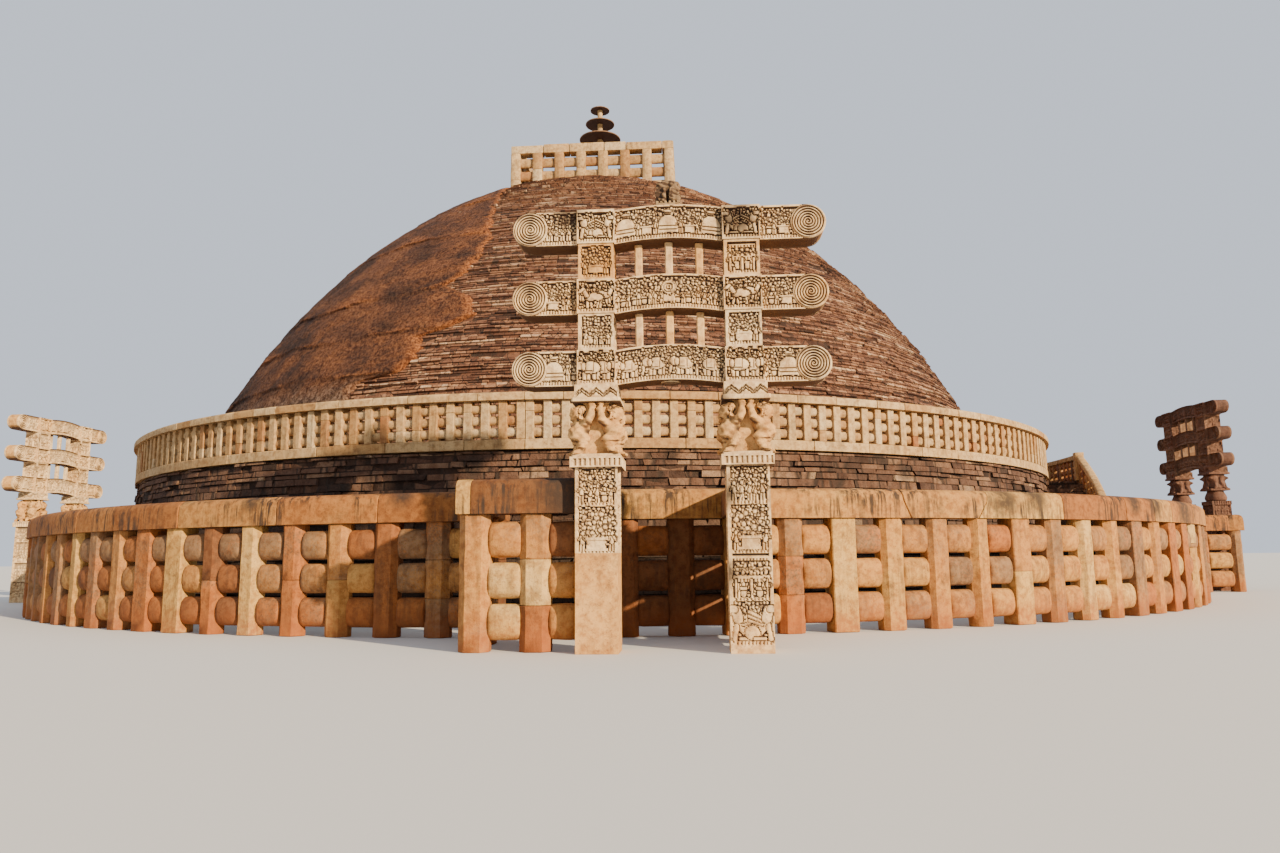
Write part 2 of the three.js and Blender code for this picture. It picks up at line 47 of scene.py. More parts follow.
RING_X = 0.98  # centre of the ground railing, a little south of the dome
RING = {"radius": 21.72, "spacing": 3.0, "coping_inner": 21.42, "coping_outer": 22.0}
GROUND_POST = {"width": 0.54, "depth": 0.44}
GROUND_RAIL = {"height": 0.63, "depth": 0.4, "centres": (0.5, 1.2, 1.9)}
GROUND_COPING = {"base": 2.34, "top": 2.96, "width": 0.58, "shoulder": 2.7}
END_OVERHANG = 0.78  # degrees of coping past the middle of an end post
CORNER_OVERHANG = 0.31
AFTER_RING = 0.3  # how far from the ring's last post the coping of a return begins
PALE_END = 0.26  # length of the pale stone over the screen's corner at the west gateway
LET_IN = 0.03  # how far a rail goes into a post or a pillar

DRUM = {"foot": 18.34, "top": 18.22, "shoulder": 4.25, "floor": 4.5}
KERB = {"inner": 17.7, "outer": 18.31}
DOME = {"radius": 16.31, "spring": 4.6, "rise": 13.65, "top": 17.2, "bulge": 1.272, "roundness": 2.013}
TERRACE_POST = {"width": 0.21, "depth": 0.28, "pitch": 0.45, "radius": 18.16}
TERRACE_RAIL = {"height": 0.242, "depth": 0.17, "centres": (4.68, 4.98, 5.28)}
TERRACE_COPING = {"inner": 18.0, "outer": 18.41, "base": 5.47, "top": 5.69}
STAIR = {"inner": 18.341, "outer": 20.3, "landing": 6.1, "flight": 22.0, "steps": 24, "wall": 0.2}
STAIR_RAILING = {"web": 0.9, "height": 1.1, "overhang": 0.04, "newel": 0.45, "newel_height": 1.16}
STAIR_POST = {"width": 0.2, "pitch": 0.47, "from_end": 0.3}
STAIR_RAIL = {"height": 0.21, "depth": 0.17, "length": 0.34, "centres": (0.16, 0.45, 0.74)}
HARMIKA = {"side": 7.1, "posts": 8, "post": 0.41, "coping_base": 19.07, "top": 19.42, "coping": 0.5}
HARMIKA_RAIL = {"height": 0.44, "depth": 0.22, "centres": (17.49, 18.08, 18.67)}
MAST = {"radius": 0.12, "top": 23.0, "base": 1.3, "base_height": 0.9}
UMBRELLAS = {
    "umbrella_lower": (0.98, 21.27, 0.2),
    "umbrella_middle": (0.69, 22.06, 0.18),
    "umbrella_upper": (0.46, 22.77, 0.16),
}

# Rough masonry: least and greatest height and length of a stone, how far it stands out, its joints
DOME_COURSES = {"course": (0.085, 0.125), "length": (0.7, 1.9), "rough": 0.028, "joint": 0.01}
SUMMIT_PAVING = {"course": (0.4, 0.6), "length": (0.5, 1.1), "rough": 0.006}
DRUM_COURSES = {"course": (0.12, 0.22), "length": (0.35, 1.2), "rough": 0.036, "joint": 0.009,
                "uneven": 0.034}
TERRACE_PAVING = {"course": (0.42, 0.62), "length": (0.6, 1.3), "rough": 0.004}
STAIR_COURSES = {"course": (0.12, 0.2), "length": (0.35, 1.0), "rough": 0.008}
LANDING_PAVING = {"course": (0.45, 0.65), "length": (0.6, 1.2), "rough": 0.004}
CORE_SIDES = 96
CORE_SETBACK = 0.05  # how far the plain core lies behind the stones in front of it

# Tones of stones from dark 0 to pale 1, as the mean and spread of random draws
TONES = {
    "kerb": (0.72, 0.08), "terrace_post": (0.68, 0.15), "pieced_terrace_post": (0.58, 0.22),
    "terrace_rail": (0.66, 0.17), "terrace_coping": (0.74, 0.08),
    "stair_cap": (0.75, 0.1), "tread": (0.62, 0.12), "stair_post": (0.28, 0.1), "stair_rail": (0.25, 0.1),
    "stair_coping": (0.62, 0.12),
    # The summit's rails are darker than its posts: partly their stone, partly painted shade in their
    # recesses.
    "harmika_post": (0.68, 0.2), "harmika_rail": (0.52, 0.2), "harmika_coping": (0.64, 0.2),
    "beam": (0.62, 0.05), "pillar": (0.6, 0.04),
}
DARK_CORE, BROWNER, NEAR_BLACK = 0.1, 0.43, 0.06
DARKEST = {"terrace": 0.3, "harmika_rail": 0.32, "harmika": 0.36}

WEST_GATE = {"centre": 2.8, "reach": 24.94, "screen": (-3.44, -2.38), "gap": (-0.98, 1.74)}
SOUTH_GATE = {"centre": -1.2, "reach": 24.6, "screen": (-2.4,), "gap": (-3.94, -1.22)}
GATE_FORM = {
    "shaft": 3.09, "abacus": 3.27, "capital": 4.27, "impost": 4.52, "height": 0.62, "roll": 2.46,
    "bases": {"lower": 4.52, "middle": 5.79, "upper": 7.06}, "abacus_width": 0.88,
}
SOUTH_FORM = {
    "shaft": 3.4, "abacus": 3.55, "capital": 4.68, "impost": 4.93, "height": 0.52, "roll": 2.14,
    "bases": {"lower": 4.93, "middle": 5.99, "upper": 7.05}, "abacus_width": 0.76,
}
GATES = (
    dict(WEST_GATE, name="west", direction=0, form=GATE_FORM),
    dict(SOUTH_GATE, name="south", direction=90, form=SOUTH_FORM),
    dict(WEST_GATE, name="east", direction=180, form=GATE_FORM),
    dict(WEST_GATE, name="north", direction=270, form=GATE_FORM),
)
SCREEN_SETBACK = 0.5
PILLAR = {"x": 1.28, "width": 0.72}
BEAM = {"thick": 0.5, "arch_half": 0.92, "arch_rise": 0.08, "die": 0.66}
BLOCK_WIDTH = 0.62
IMPOST_WIDTH = 0.74
UPRIGHT = {"width": 0.135, "offsets": (-0.54, 0.0, 0.54)}
UPRIGHT_TONES = {"lower": (0.56, 0.44, 0.52), "middle": (0.48, 0.6, 0.43)}

# The photograph's camera, in real metres and degrees
CAMERA = {"place": (4.149, -39.877, 1.577), "yaw": 3.431, "pitch": 8.345, "roll": -0.630}
LENS_MM = 25.016
SENSOR_MM = 36.0


# Places on the plan

class Spot:
    """A place on the plan and a direction: its x runs along, its y runs inward."""

    def __init__(self, x, y, direction=0.0):
        self.x, self.y, self.direction = x, y, direction
        self.cos = math.cos(math.radians(direction))
        self.sin = math.sin(math.radians(direction))

    def on_plan(self, along, inward):
        return self.x + along * self.cos - inward * self.sin, self.y + along * self.sin + inward * self.cos

    def __call__(self, points):
        along, inward, up = np.asarray(points, float).T
        return np.stack([*self.on_plan(along, inward), up], axis=1)

    def at(self, along, inward, turn=0.0):
        return Spot(*self.on_plan(along, inward), self.direction + turn)


CENTRE = Spot(0.0, 0.0)


def round_spot(radius, direction, centre_x=0.0):
    return Spot(centre_x, 0.0, direction).at(0.0, -radius)


def gate_spot(gate):
    return Spot(RING_X, 0.0, gate["direction"]).at(gate["centre"], -gate["reach"])


def line(start, end):
    """The distance between two places, and the first of them facing along it."""
    x, y = end.x - start.x, end.y - start.y
    return math.hypot(x, y), Spot(start.x, start.y, math.degrees(math.atan2(y, x)))


# Gathering blocks into pieces

class Stones:
    """Blocks gathered into one mesh. Each face has a tone, and each point may be raised; the raised level
    carries painted shade and painted highlights.
    """

    def __init__(self):
        self.points, self.raised, self.faces, self.tones = [], [], [], []
        self.count = 0

    def add(self, solid, tone=0.5, spot=CENTRE, raised=None):
        points, faces = solid
        points = np.asarray(points, float).reshape(-1, 3)
        self.points.append(spot(points))
        self.raised.append(np.ones(len(points)) if raised is None else raised)
        self.faces.extend([[self.count + i for i in face] for face in faces])
        self.tones.extend([tone] * len(faces))
        self.count += len(points)

    def mesh(self, name):
        mesh = bpy.data.meshes.new(name)
        points = np.concatenate(self.points) * M
        mesh.from_pydata(points.tolist(), [], self.faces)
        raised = np.concatenate(self.raised)
        for layer, domain, values in (("tone", "FACE", self.tones), ("raised", "POINT", raised)):
            attribute = mesh.attributes.new(layer, "FLOAT", domain)
            attribute.data.foreach_set("value", np.array(values, np.float32))
        return mesh

    def piece(self, name, look, nodes=(), smooth_angle=None):
        """The gathered stones as one piece. look is a material and a slot name; the slot name is not used."""
        material, slot = look
        mesh = self.mesh(name)
        work = bmesh.new()
        work.from_mesh(mesh)
        bmesh.ops.recalc_face_normals(work, faces=work.faces)
        work.to_mesh(mesh)
        work.free()
        if smooth_angle:
            mesh.shade_smooth()
            mesh.set_sharp_from_angle(angle=math.radians(smooth_angle))
        piece = bpy.data.objects.new(name, mesh)
        bpy.context.scene.collection.objects.link(piece)
        mesh.materials.append(material)
        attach(piece, "root")
        if nodes:
            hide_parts(*nodes)


def loft(rings):
    """A closed solid through rings of points, with a flat cap at each end."""
    size = len(rings[0])
    faces = []
    for level in range(len(rings) - 1):
        low, high = level * size, (level + 1) * size
        faces += [[low + i, low + (i + 1) % size, high + (i + 1) % size, high + i] for i in range(size)]
    last = (len(rings) - 1) * size
    faces.append(list(range(size))[::-1])
    faces.append([last + i for i in range(size)])
    return np.concatenate(rings), faces


def sheet(rows, columns):
    """The faces of a grid of points and of a skirt from its rim to as many points behind it."""
    index = np.arange(rows * columns).reshape(rows, columns)
    quads = np.stack([index[:-1, :-1], index[:-1, 1:], index[1:, 1:], index[1:, :-1]], axis=2).reshape(-1, 4)
    rim = np.concatenate([index[0, :-1], index[:-1, -1], index[-1, :0:-1], index[:0:-1, 0]])
    behind = index.size + np.arange(len(rim))
    skirt = np.stack([rim, np.roll(rim, -1), np.roll(behind, -1), behind], axis=1)
    return quads.tolist() + skirt.tolist(), rim


def full_turn(sides):
    return np.linspace(0, 2 * math.pi, sides, endpoint=False)


def round_points(radius, turn, height):
    """Points at a radius, a direction in radians and a height."""
    return np.stack(np.broadcast_arrays(radius * np.sin(turn), -radius * np.cos(turn), height), axis=-1)


def lathe(profile, sides):
    """A solid of revolution through (radius, height) points from the bottom up."""
    return loft([round_points(radius, full_turn(sides), height) for radius, height in profile])


def ripple(points, wavelength, seed):
    """A smooth random field, about -1 to 1, over points in space."""
    waves = np.random.default_rng(seed)
    field = np.zeros(len(points))
    for _ in range(6):
        way = waves.normal(size=3)
        way *= 2 * math.pi * waves.uniform(0.6, 1.7) / (wavelength * np.linalg.norm(way))
        field += np.sin(points @ way + waves.uniform(0, 2 * math.pi))
    return field / 3


def worn_block(wide, deep, low, high, chamfer, dice, levels=4, wear=0.006, bites=0.0):
    """An upright stone of half sizes wide and deep. Its corners are cut and a share of them bitten,
    and its faces are a little uneven."""
    bevel = min(0.012, chamfer)
    heights = [low, low + bevel, *np.linspace(low, high, levels + 1)[1:-1], high - bevel, high]
    rings = []
    for k, z in enumerate(heights):
        inset = bevel * 0.7 if k in (0, len(heights) - 1) else dice.uniform(-wear, wear)
        a, b, c, d = (chamfer * dice.uniform(0.93, 1.07) for _ in range(4))
        if dice.random() < bites:
            cuts = [a, b, c, d]
            cuts[dice.randrange(4)] += dice.uniform(0.02, 0.09)
            a, b, c, d = cuts
        x, y = wide - inset, deep - inset
        ring = [(a - x, -y), (x - b, -y), (x, b - y), (x, y - c)]
        ring += [(x - c, y), (d - x, y), (-x, y - d), (-x, a - y)]
        rings.append(np.array([(*point, z) for point in ring]))
    return loft(rings)


def two_stones(low, high, cut, joint=0.003):
    """Foot and head of each stone of a post, which has one stone or a joint at cut of its height."""
    levels = [low, low + (high - low) * cut, high] if cut else [low, high]
    return [(foot + joint, head - joint) for foot, head in zip(levels, levels[1:])]


def lens_section(height, depth, count):
    """Points (inward, up) of a rail's section, fuller than an ellipse."""
    fullness = 2 / 2.3
    turns = full_turn(count) + math.pi / count
    cos, sin = np.cos(turns), np.sin(turns)
    inward = np.sign(cos) * np.abs(cos) ** fullness * depth / 2
    up = np.sign(sin) * np.abs(sin) ** fullness * height / 2
    return inward, up


def rail(length, centre, form, dice, count=16, slope=0.0, rings=4, shoulder=0.0):
    """A lens-shaped rail along x with its ends let into the posts. shoulder is how far from each
    end it takes to come out to its full depth."""
    inward, up = lens_section(form["height"], form["depth"], count)
    middle = np.linspace(-0.5 + shoulder / length, 0.5 - shoulder / length, rings)
    ends = [shoulder / length * share - 0.5 for share in (0.0, 0.2, 0.5)] if shoulder else []
    sections = []
    for share in [*ends, *middle, *(-end for end in ends[::-1])]:
        swell = dice.uniform(0.965, 1.0)
        thin = 1.0
        if shoulder:
            bend = 1 - min((0.5 - abs(share)) * length / shoulder, 1.0)
            thin = 0.55 + 0.45 * math.sqrt(1 - bend * bend)
        rise = centre + up * swell * (0.8 + 0.2 * thin) + slope * share * length
        sections.append(np.stack([np.full(count, share * length), inward * swell * thin, rise], axis=1))
    return loft(sections)


# Materials

SHADE = 0.66  # keeps the tones below in proportion to the strong sun
# dark stains, and the painted shade towards the drum's foot
DARK_STAIN_AND_SHADE = (0.035, 0.022, 0.015)
RED_DUST = (0.3, 0.085, 0.022)
# colour of the painted shade in the hollows of carved faces
HOLLOW_SHADE = (0.05, 0.026, 0.014)
# colour of the painted shade on faces turned downward, with their grime
UNDERSIDE_SHADE_AND_GRIME = (0.05, 0.02, 0.013)


class Shader:
    """Builds one stone material out of nodes, washing its colour and denting its surface by turns."""

    def __init__(self, name, roughness):
        self.material = bpy.data.materials.new(name)
        self.material.use_nodes = True
        self.tree = self.material.node_tree
        self.tree.nodes.clear()
        self.coordinates = self.node("TexCoord").outputs["Object"]
        self.roughness = roughness
        self.color = self.normal = None

    def node(self, kind, inputs=None, **settings):
        """A new node, each of its inputs set to a value or linked to an output of another."""
        node = self.tree.nodes.new(f"ShaderNode{kind}")
        for key, value in settings.items():
            setattr(node, key, value)
        for key, value in (inputs or {}).items():
            if isinstance(value, bpy.types.NodeSocket):
                self.tree.links.new(value, node.inputs[key])
            else:
                node.inputs[key].default_value = value
        return node

    def math(self, operation, a, b):
        return self.node("Math", {0: a, 1: b}, operation=operation).outputs[0]

    def times(self, a, b):
        return self.math("MULTIPLY", a, b)

    def vary(self, tone, field, amount):
        """Moves a tone up and down with a field whose middle is 0.5."""
        return self.math("ADD", tone, self.times(self.math("SUBTRACT", field, 0.5), amount))

    def noise(self, scale, detail=4.0, roughness=0.55, stretch=(1, 1, 1), distortion=0.0):
        place = self.node("Mapping", {"Vector": self.coordinates, "Scale": stretch}).outputs["Vector"]
        inputs = {"Scale": scale, "Detail": detail, "Roughness": roughness, "Distortion": distortion}
        return self.node("TexNoise", {"Vector": place, **inputs}).outputs["Fac"]

    def cells(self, scale):
        place = self.node("Mapping", {"Vector": self.coordinates}).outputs["Vector"]
        return self.node("TexVoronoi", {"Vector": place, "Scale": scale}).outputs["Distance"]

    def short_stones(self, scale):
        """Splits the long stones of a course: a number for each short one, and the distance to its end."""
        x, y = (self.axis(self.coordinates, axis) for axis in "XY")
        row = self.times(self.attribute("tone"), 37.0)
        place = self.node("CombineXYZ", {"X": x, "Y": y, "Z": row}).outputs["Vector"]
        inputs = {"Vector": place, "Scale": scale}
        number = self.node("TexVoronoi", inputs, feature="F1").outputs["Color"]
        end = self.node("TexVoronoi", inputs, feature="DISTANCE_TO_EDGE").outputs["Distance"]
        return self.node("SeparateColor", {"Color": number}).outputs["Red"], end

    def around(self, place, radius):
        """1 at a place given in real metres, falling to 0 at a distance from it."""
        inputs = {0: self.coordinates, 1: Vector(place) * M}
        distance = self.node("VectorMath", inputs, operation="DISTANCE").outputs["Value"]
        return self.between(distance, 0.2 * radius * M, radius * M, 1.0, 0.0)

    def attribute(self, name):
        return self.node("Attribute", attribute_name=name).outputs["Fac"]

    def axis(self, vector, axis):
        return self.node("SeparateXYZ", {0: vector}).outputs[axis]

    def height(self):
        return self.axis(self.coordinates, "Z")

    def upward(self):
        return self.axis(self.node("NewGeometry").outputs["True Normal"], "Z")

    def between(self, value, low, high, start=0.0, end=1.0):
        """Rises smoothly from start to end while a value goes from low to high."""
        inputs = {"Value": value, "From Min": low, "From Max": high, "To Min": start, "To Max": end}
        return self.node("MapRange", inputs, interpolation_type="SMOOTHSTEP").outputs["Result"]

    def ramp(self, value, stops):
        node = self.node("ValToRGB", {"Fac": value})
        elements = node.color_ramp.elements
        while len(elements) < len(stops):
            elements.new(0.5)
        for element, (position, color) in zip(elements, stops):
            element.position = position
            element.color = (*(channel * SHADE for channel in color), 1.0)
        return node.outputs["Color"]

    def mix(self, factor, a, b, blend="MIX"):
        a, b = ((*color, 1.0) if isinstance(color, tuple) else color for color in (a, b))
        return self.node("Mix", {"Factor": factor, 6: a, 7: b}, data_type="RGBA", blend_type=blend).outputs[2]

    def wash(self, factor, tint, blend="MIX"):
        self.color = self.mix(factor, self.color, tint, blend)

    def dent(self, height, distance, strength):
        under = {"Normal": self.normal} if self.normal else {}
        inputs = {"Strength": strength, "Distance": distance, "Height": height}
        self.normal = self.node("Bump", {**inputs, **under}).outputs["Normal"]

    def finish(self):
        looks = {"Roughness": self.roughness, "Specular IOR Level": 0.25}
        shader = self.node("BsdfPrincipled", {**looks, "Base Color": self.color, "Normal": self.normal})
        self.node("OutputMaterial", {"Surface": shader.outputs["BSDF"]})
        return self.material


def stone(name, slot, tones, grain=14.0, relief=0.006, stains=0.5, streaks=0.0, dust=0.0, hollow_shade=0.0,
          roughness=0.9, short=0.0, spread=0.5, tooling=0.0, foot=0.0, under=0.0, blots=()):
    """Sandstone: a tone for each block, mottled, pitted and stained, with painted shade in hollows, on
    undersides and towards the foot where asked.
    """
    make = Shader(name, roughness)
    blotch, mottle = make.noise(1.3, 5, 0.6), make.noise(grain, 6, 0.65)
    specks, fine = make.noise(grain * 3.2, 4, 0.7), make.noise(grain * 7, 4, 0.7)
    tone = make.vary(make.vary(make.attribute("tone"), blotch, 0.5), specks, 0.35)
    if short:
        number, end = make.short_stones(short)
        tone = make.vary(tone, number, spread)
    make.color = make.ramp(tone, tones)
    make.wash(make.between(mottle, 0.38, 0.68, 0.0, 0.6), (0.4, 0.26, 0.16), "MULTIPLY")
    make.wash(make.between(specks, 0.52, 0.68, 0.0, 0.55), (0.32, 0.2, 0.12), "MULTIPLY")
    make.wash(make.between(fine, 0.35, 0.8, 0.0, 0.22), (0.9, 0.72, 0.5), "SOFT_LIGHT")
    where = make.between(make.noise(2.6, 7, 0.7, distortion=0.6), 0.54, 0.68)
    patches = make.times(where, make.between(make.noise(22, 5, 0.7), 0.35, 0.65))
    make.wash(make.times(patches, stains), DARK_STAIN_AND_SHADE)
    if short:
        make.wash(make.between(end, 0.0, 0.05, 0.9, 0.0), DARK_STAIN_AND_SHADE)
    if streaks:
        run = make.noise(17.0, 5, 0.65, stretch=(1, 1, 0.09), distortion=0.3)
        where = make.between(make.noise(1.9, 4, 0.6), 0.4, 0.6)
        make.wash(make.times(make.between(run, 0.45, 0.6, 0.0, streaks), where), DARK_STAIN_AND_SHADE)
    for place, radius in blots:
        ragged = make.between(make.noise(9.0, 6, 0.7), 0.3, 0.55, 0.5, 1.0)
        make.wash(make.times(make.times(make.around(place, radius), ragged), 0.9), DARK_STAIN_AND_SHADE)
    # painted shade in the hollows of the carving, darkest where the relief is lowest
    if hollow_shade:
        make.wash(make.between(make.attribute("raised"), 0.0, 0.62, hollow_shade, 0.0), HOLLOW_SHADE)
    # painted shade on faces turned downward, with the grime of undersides
    if under:
        make.wash(make.between(make.upward(), -0.9, -0.4, under, 0.0), UNDERSIDE_SHADE_AND_GRIME)
    # painted shade: darker towards the foot of the wall, behind the ground railing
    if foot:
        make.wash(make.between(make.height(), 0.9, 1.65, foot, 0.0), DARK_STAIN_AND_SHADE)
    if dust:
        low = make.between(make.height(), 0.0, 0.42, dust, 0.0)
        make.wash(make.times(low, make.between(mottle, 0.25, 0.6, 0.5, 1.0)), RED_DUST)
    make.dent(make.between(make.cells(55.0), 0.0, 0.28), relief * 0.35, 0.5)
    make.dent(fine, relief * 0.5, 0.6)
    make.dent(specks, relief * 0.8, 0.6)
    if tooling:
        make.dent(make.noise(60.0, 3, 0.6, stretch=(1, 1, 0.12)), tooling, 0.6)
    make.dent(mottle, relief * 1.4, 0.6)
    if short:
        make.dent(make.between(end, 0.0, 0.06), 0.012, 0.8)
    return make.finish(), slot


CREAM, PEACH, ORANGE = (0.78, 0.45, 0.13), (0.66, 0.29, 0.075), (0.56, 0.19, 0.042)
BROWN, GREY = (0.2, 0.085, 0.032), (0.32, 0.19, 0.1)

railing_stone = stone(
    "railing_sandstone", "railing_sandstone",
    [(0.0, BROWN), (0.2, (0.32, 0.12, 0.04)), (0.38, ORANGE), (0.5, GREY), (0.64, PEACH), (0.85, CREAM),
     (1.0, (0.84, 0.55, 0.22))],
    streaks=0.35, dust=0.65, relief=0.005, tooling=0.004)
coping_stone = stone(
    "coping_sandstone", "railing_sandstone",
    [(0.0, BROWN), (0.25, (0.36, 0.135, 0.035)), (0.5, (0.51, 0.2, 0.05)), (0.75, (0.61, 0.29, 0.08)),
     (1.0, CREAM)],
    stains=0.65, streaks=0.95, relief=0.007,
    blots=(((2.05, -24.75, 2.7), 0.95), ((11.1, -19.56, 2.75), 0.6), ((11.9, -19.0, 2.8), 0.55),
           ((15.2, -16.8, 2.8), 0.5), ((16.05, -16.0, 2.75), 0.5), ((17.7, -14.3, 2.7), 1.0),
           ((-1.9, -21.8, 2.9), 0.4), ((-5.5, -21.0, 2.9), 0.4)))
terrace_stone = stone(
    "terrace_sandstone", "terrace_sandstone",
    [(0.0, (0.2, 0.1, 0.05)), (0.2, (0.42, 0.15, 0.05)), (0.4, (0.6, 0.34, 0.13)), (0.7, (0.74, 0.48, 0.22)),
     (1.0, (0.82, 0.6, 0.33))],
    streaks=0.3, relief=0.005)
gateway_stone = stone(
    "gateway_sandstone", "gateway_sandstone",
    [(0.0, (0.2, 0.1, 0.045)), (0.25, (0.8, 0.39, 0.11)), (0.42, (0.97, 0.56, 0.21)),
     (0.62, (1.08, 0.76, 0.41)), (1.0, (1.18, 0.94, 0.58))],
    stains=0.35, streaks=0.25, hollow_shade=1.0, dust=0.12, relief=0.004, under=0.9,
    blots=(((5.0, -24.9, 7.45), 0.55), ((4.66, -24.95, 2.6), 0.35), ((4.68, -24.95, 1.3), 0.3),
           ((2.0, -24.9, 7.6), 0.4), ((4.62, -24.9, 4.2), 0.3)))
weathered_stone = stone(
    "weathered_sandstone", "gateway_sandstone",
    [(0.0, (0.06, 0.03, 0.02)), (0.3, (0.15, 0.07, 0.045)), (0.6, (0.27, 0.13, 0.08)),
     (1.0, (0.55, 0.36, 0.2))],
    stains=0.75, streaks=0.5, hollow_shade=0.9, dust=0.15)
finial_stone = stone(
    "finial_sandstone", "gateway_sandstone",
    [(0.0, (0.05, 0.03, 0.02)), (0.4, (0.18, 0.1, 0.055)), (1.0, (0.6, 0.42, 0.22))],
    stains=0.8, streaks=0.3, hollow_shade=1.0)
dome_stone = stone(
    "dome_stone", "dome_stone",
    [(0.0, (0.06, 0.028, 0.017)), (0.25, (0.17, 0.073, 0.042)), (0.5, (0.31, 0.142, 0.078)),
     (0.75, (0.5, 0.26, 0.145)), (1.0, (0.76, 0.5, 0.31))],
    stains=0.3, streaks=0.12, relief=0.022, roughness=0.95, grain=13.0, short=6.4, spread=0.55,
    blots=(((8.6, -12.9, 5.6), 0.8), ((6.9, -14.0, 5.2), 0.7), ((12.0, -10.6, 5.3), 0.8)))
# The drum's foot is painted darker, standing in for the ground railing's shade.
drum_stone = stone(
    "drum_stone", "drum_stone",
    [(0.0, (0.045, 0.027, 0.019)), (0.3, (0.14, 0.072, 0.047)), (0.6, (0.24, 0.127, 0.078)),
     (0.85, (0.34, 0.195, 0.115)), (1.0, (0.46, 0.3, 0.18))],
    stains=0.85, streaks=0.35, relief=0.032, roughness=0.95, grain=8.0, short=2.6, foot=0.85,
    blots=(((-1.3, -18.3, 3.8), 0.5), ((5.3, -17.5, 3.9), 0.35), ((9.3, -15.8, 4.1), 0.4),
           ((9.9, -15.4, 3.8), 0.4), ((3.6, -17.95, 4.1), 0.35), ((0.9, -18.3, 4.0), 0.3)))
umbrella_stone = stone(
    "umbrella_stone", "umbrella_stone",
    [(0.0, (0.04, 0.016, 0.011)), (0.5, (0.14, 0.055, 0.035)), (1.0, (0.34, 0.2, 0.12))],
    stains=0.3, streaks=0.1, relief=0.004, roughness=0.8)


# Rough masonry laid in courses

def along_profile(profile, travel):
    """The point on a (radius, height) outline at a distance along it, and the way out there."""
    profile = np.array(profile, float)
    steps = np.hypot(*np.diff(profile, axis=0).T)
    reach = np.concatenate([[0.0], np.cumsum(steps)])
    point = [float(np.interp(travel, reach, profile[:, k])) for k in (0, 1)]
    step = min(max(int(np.searchsorted(reach, travel, side="right")) - 1, 0), len(steps) - 1)
    way = (profile[step + 1] - profile[step]) / steps[step]
    return point, (way[1], -way[0])


def rough_stone(turns, foot, head, out, uneven, lowest, dice):
    """One stone between two directions, from its foot to its head on a profile. It stands out from
    the profile and goes back behind it."""
    back = -0.12
    corners = []
    for (point, way), stand in ((foot, out + 0.012), (head, out - 0.004), (head, back), (foot, back)):
        corners.append((point[0] + way[0] * stand, point[1] + way[1] * stand))
    points = []
    for turn in turns:
        sin, cos = math.sin(math.radians(turn)), math.cos(math.radians(turn))
        down = up = lean = 0.0
        if uneven:
            down, up = dice.uniform(-0.3, 0.6) * uneven, dice.uniform(-0.6, 0.3) * uneven
            lean = dice.uniform(-uneven, uneven)
        for (radius, z), rise, side in zip(corners, (down, up, up, down), (lean, -lean, -lean, lean)):
            height = max(z + rise, lowest) if uneven else z
            points.append((radius * sin + side * cos, side * sin - radius * cos, height))
    faces = [[0, 1, 2, 3], [7, 6, 5, 4], [0, 4, 5, 1], [1, 5, 6, 2], [2, 6, 7, 3], [3, 7, 4, 0]]
    return points, faces


def masonry(stones, profile, seed, course, length, rough, joint=0.007, uneven=0.0, span=(0.0, 360.0),
            below=None, hidden=None):
    """Flat rough stones in courses round a profile of (radius, height) points. course and length are
    their least and greatest height and length. uneven is how far beds may slope and ends may lean.
    Stones over the height below(direction), or hidden at a direction and height, are left out."""
    dice = random.Random(seed)
    total = float(np.hypot(*np.diff(np.array(profile, float), axis=0).T).sum())
    edges = [0.0]
    while edges[-1] < total - course[1]:
        edges.append(edges[-1] + dice.uniform(*course))
    edges.append(total)
    for low, high in zip(edges, edges[1:]):
        foot, head = along_profile(profile, low + joint), along_profile(profile, high - joint)
        middle = (foot[0][0] + head[0][0]) / 2
        shortest, gap = math.degrees(length[0] / middle), math.degrees(joint / middle)
        shade = dice.gauss(0.0, 0.045)
        turn = span[0] - (dice.uniform(0, shortest) if span[1] - span[0] > 359 else 0.0)
        end = turn + (span[1] - span[0])
        while turn < end - 0.05:
            turn_end = min(turn + math.degrees(dice.uniform(*length) / middle), end)
            if end - turn_end < shortest * 0.6:
                turn_end = end
            out = dice.gauss(0.0, rough)
            if dice.random() < 0.03:
                out -= 4 * rough
            halfway = 0.5 * (turn + turn_end)
            covered = hidden and hidden(halfway, foot[0][1])
            if not covered and (not below or head[0][1] <= below(halfway)):
                turns = (turn + gap, turn_end - gap)
                solid = rough_stone(turns, foot, head, out, uneven, profile[0][1], dice)
                tone = 0.5 + shade + dice.gauss(0.0, 0.13)
                if dice.random() < 0.05:
                    tone += 0.4
                stones.add(solid, tone)
            turn = turn_end


def dome_radius(z):
    rise = max(z - DOME["spring"], 0.0) / DOME["rise"]
    return DOME["radius"] * (1 - rise ** DOME["bulge"]) ** (1 / DOME["roundness"])


def dome_profile():
    """From the terrace up the dome and in over its flat top."""
    rows = 40
    points = [(DOME["radius"], DRUM["floor"])]
    for row in range(rows + 1):
        z = DOME["spring"] + math.sin(row / rows * math.pi / 2) * (DOME["top"] - DOME["spring"])
        points.append((dome_radius(z), z))
    return points


def build_dome():
    courses, core = Stones(), Stones()
    edge = dome_profile()
    rim, summit = edge[-1][0], DOME["top"]
    masonry(courses, edge, 11, **DOME_COURSES, hidden=under_plaster)
    flat_top = [(rim, summit - 0.03), (0.8, summit - 0.03)]
    masonry(courses, flat_top, 12, **SUMMIT_PAVING)
    courses.piece("dome_courses", dome_stone, ["dome"])
    backing = [(radius - CORE_SETBACK, z) for radius, z in edge[:-1]]
    backing += [(rim - CORE_SETBACK, summit - 0.07), (0.3, summit - 0.07)]
    core.add(lathe(backing, CORE_SIDES), 0.08)
    core.piece("dome_core", dome_stone)


# What is left of the dome's plaster: its ragged edge as (direction, height), from the summit down

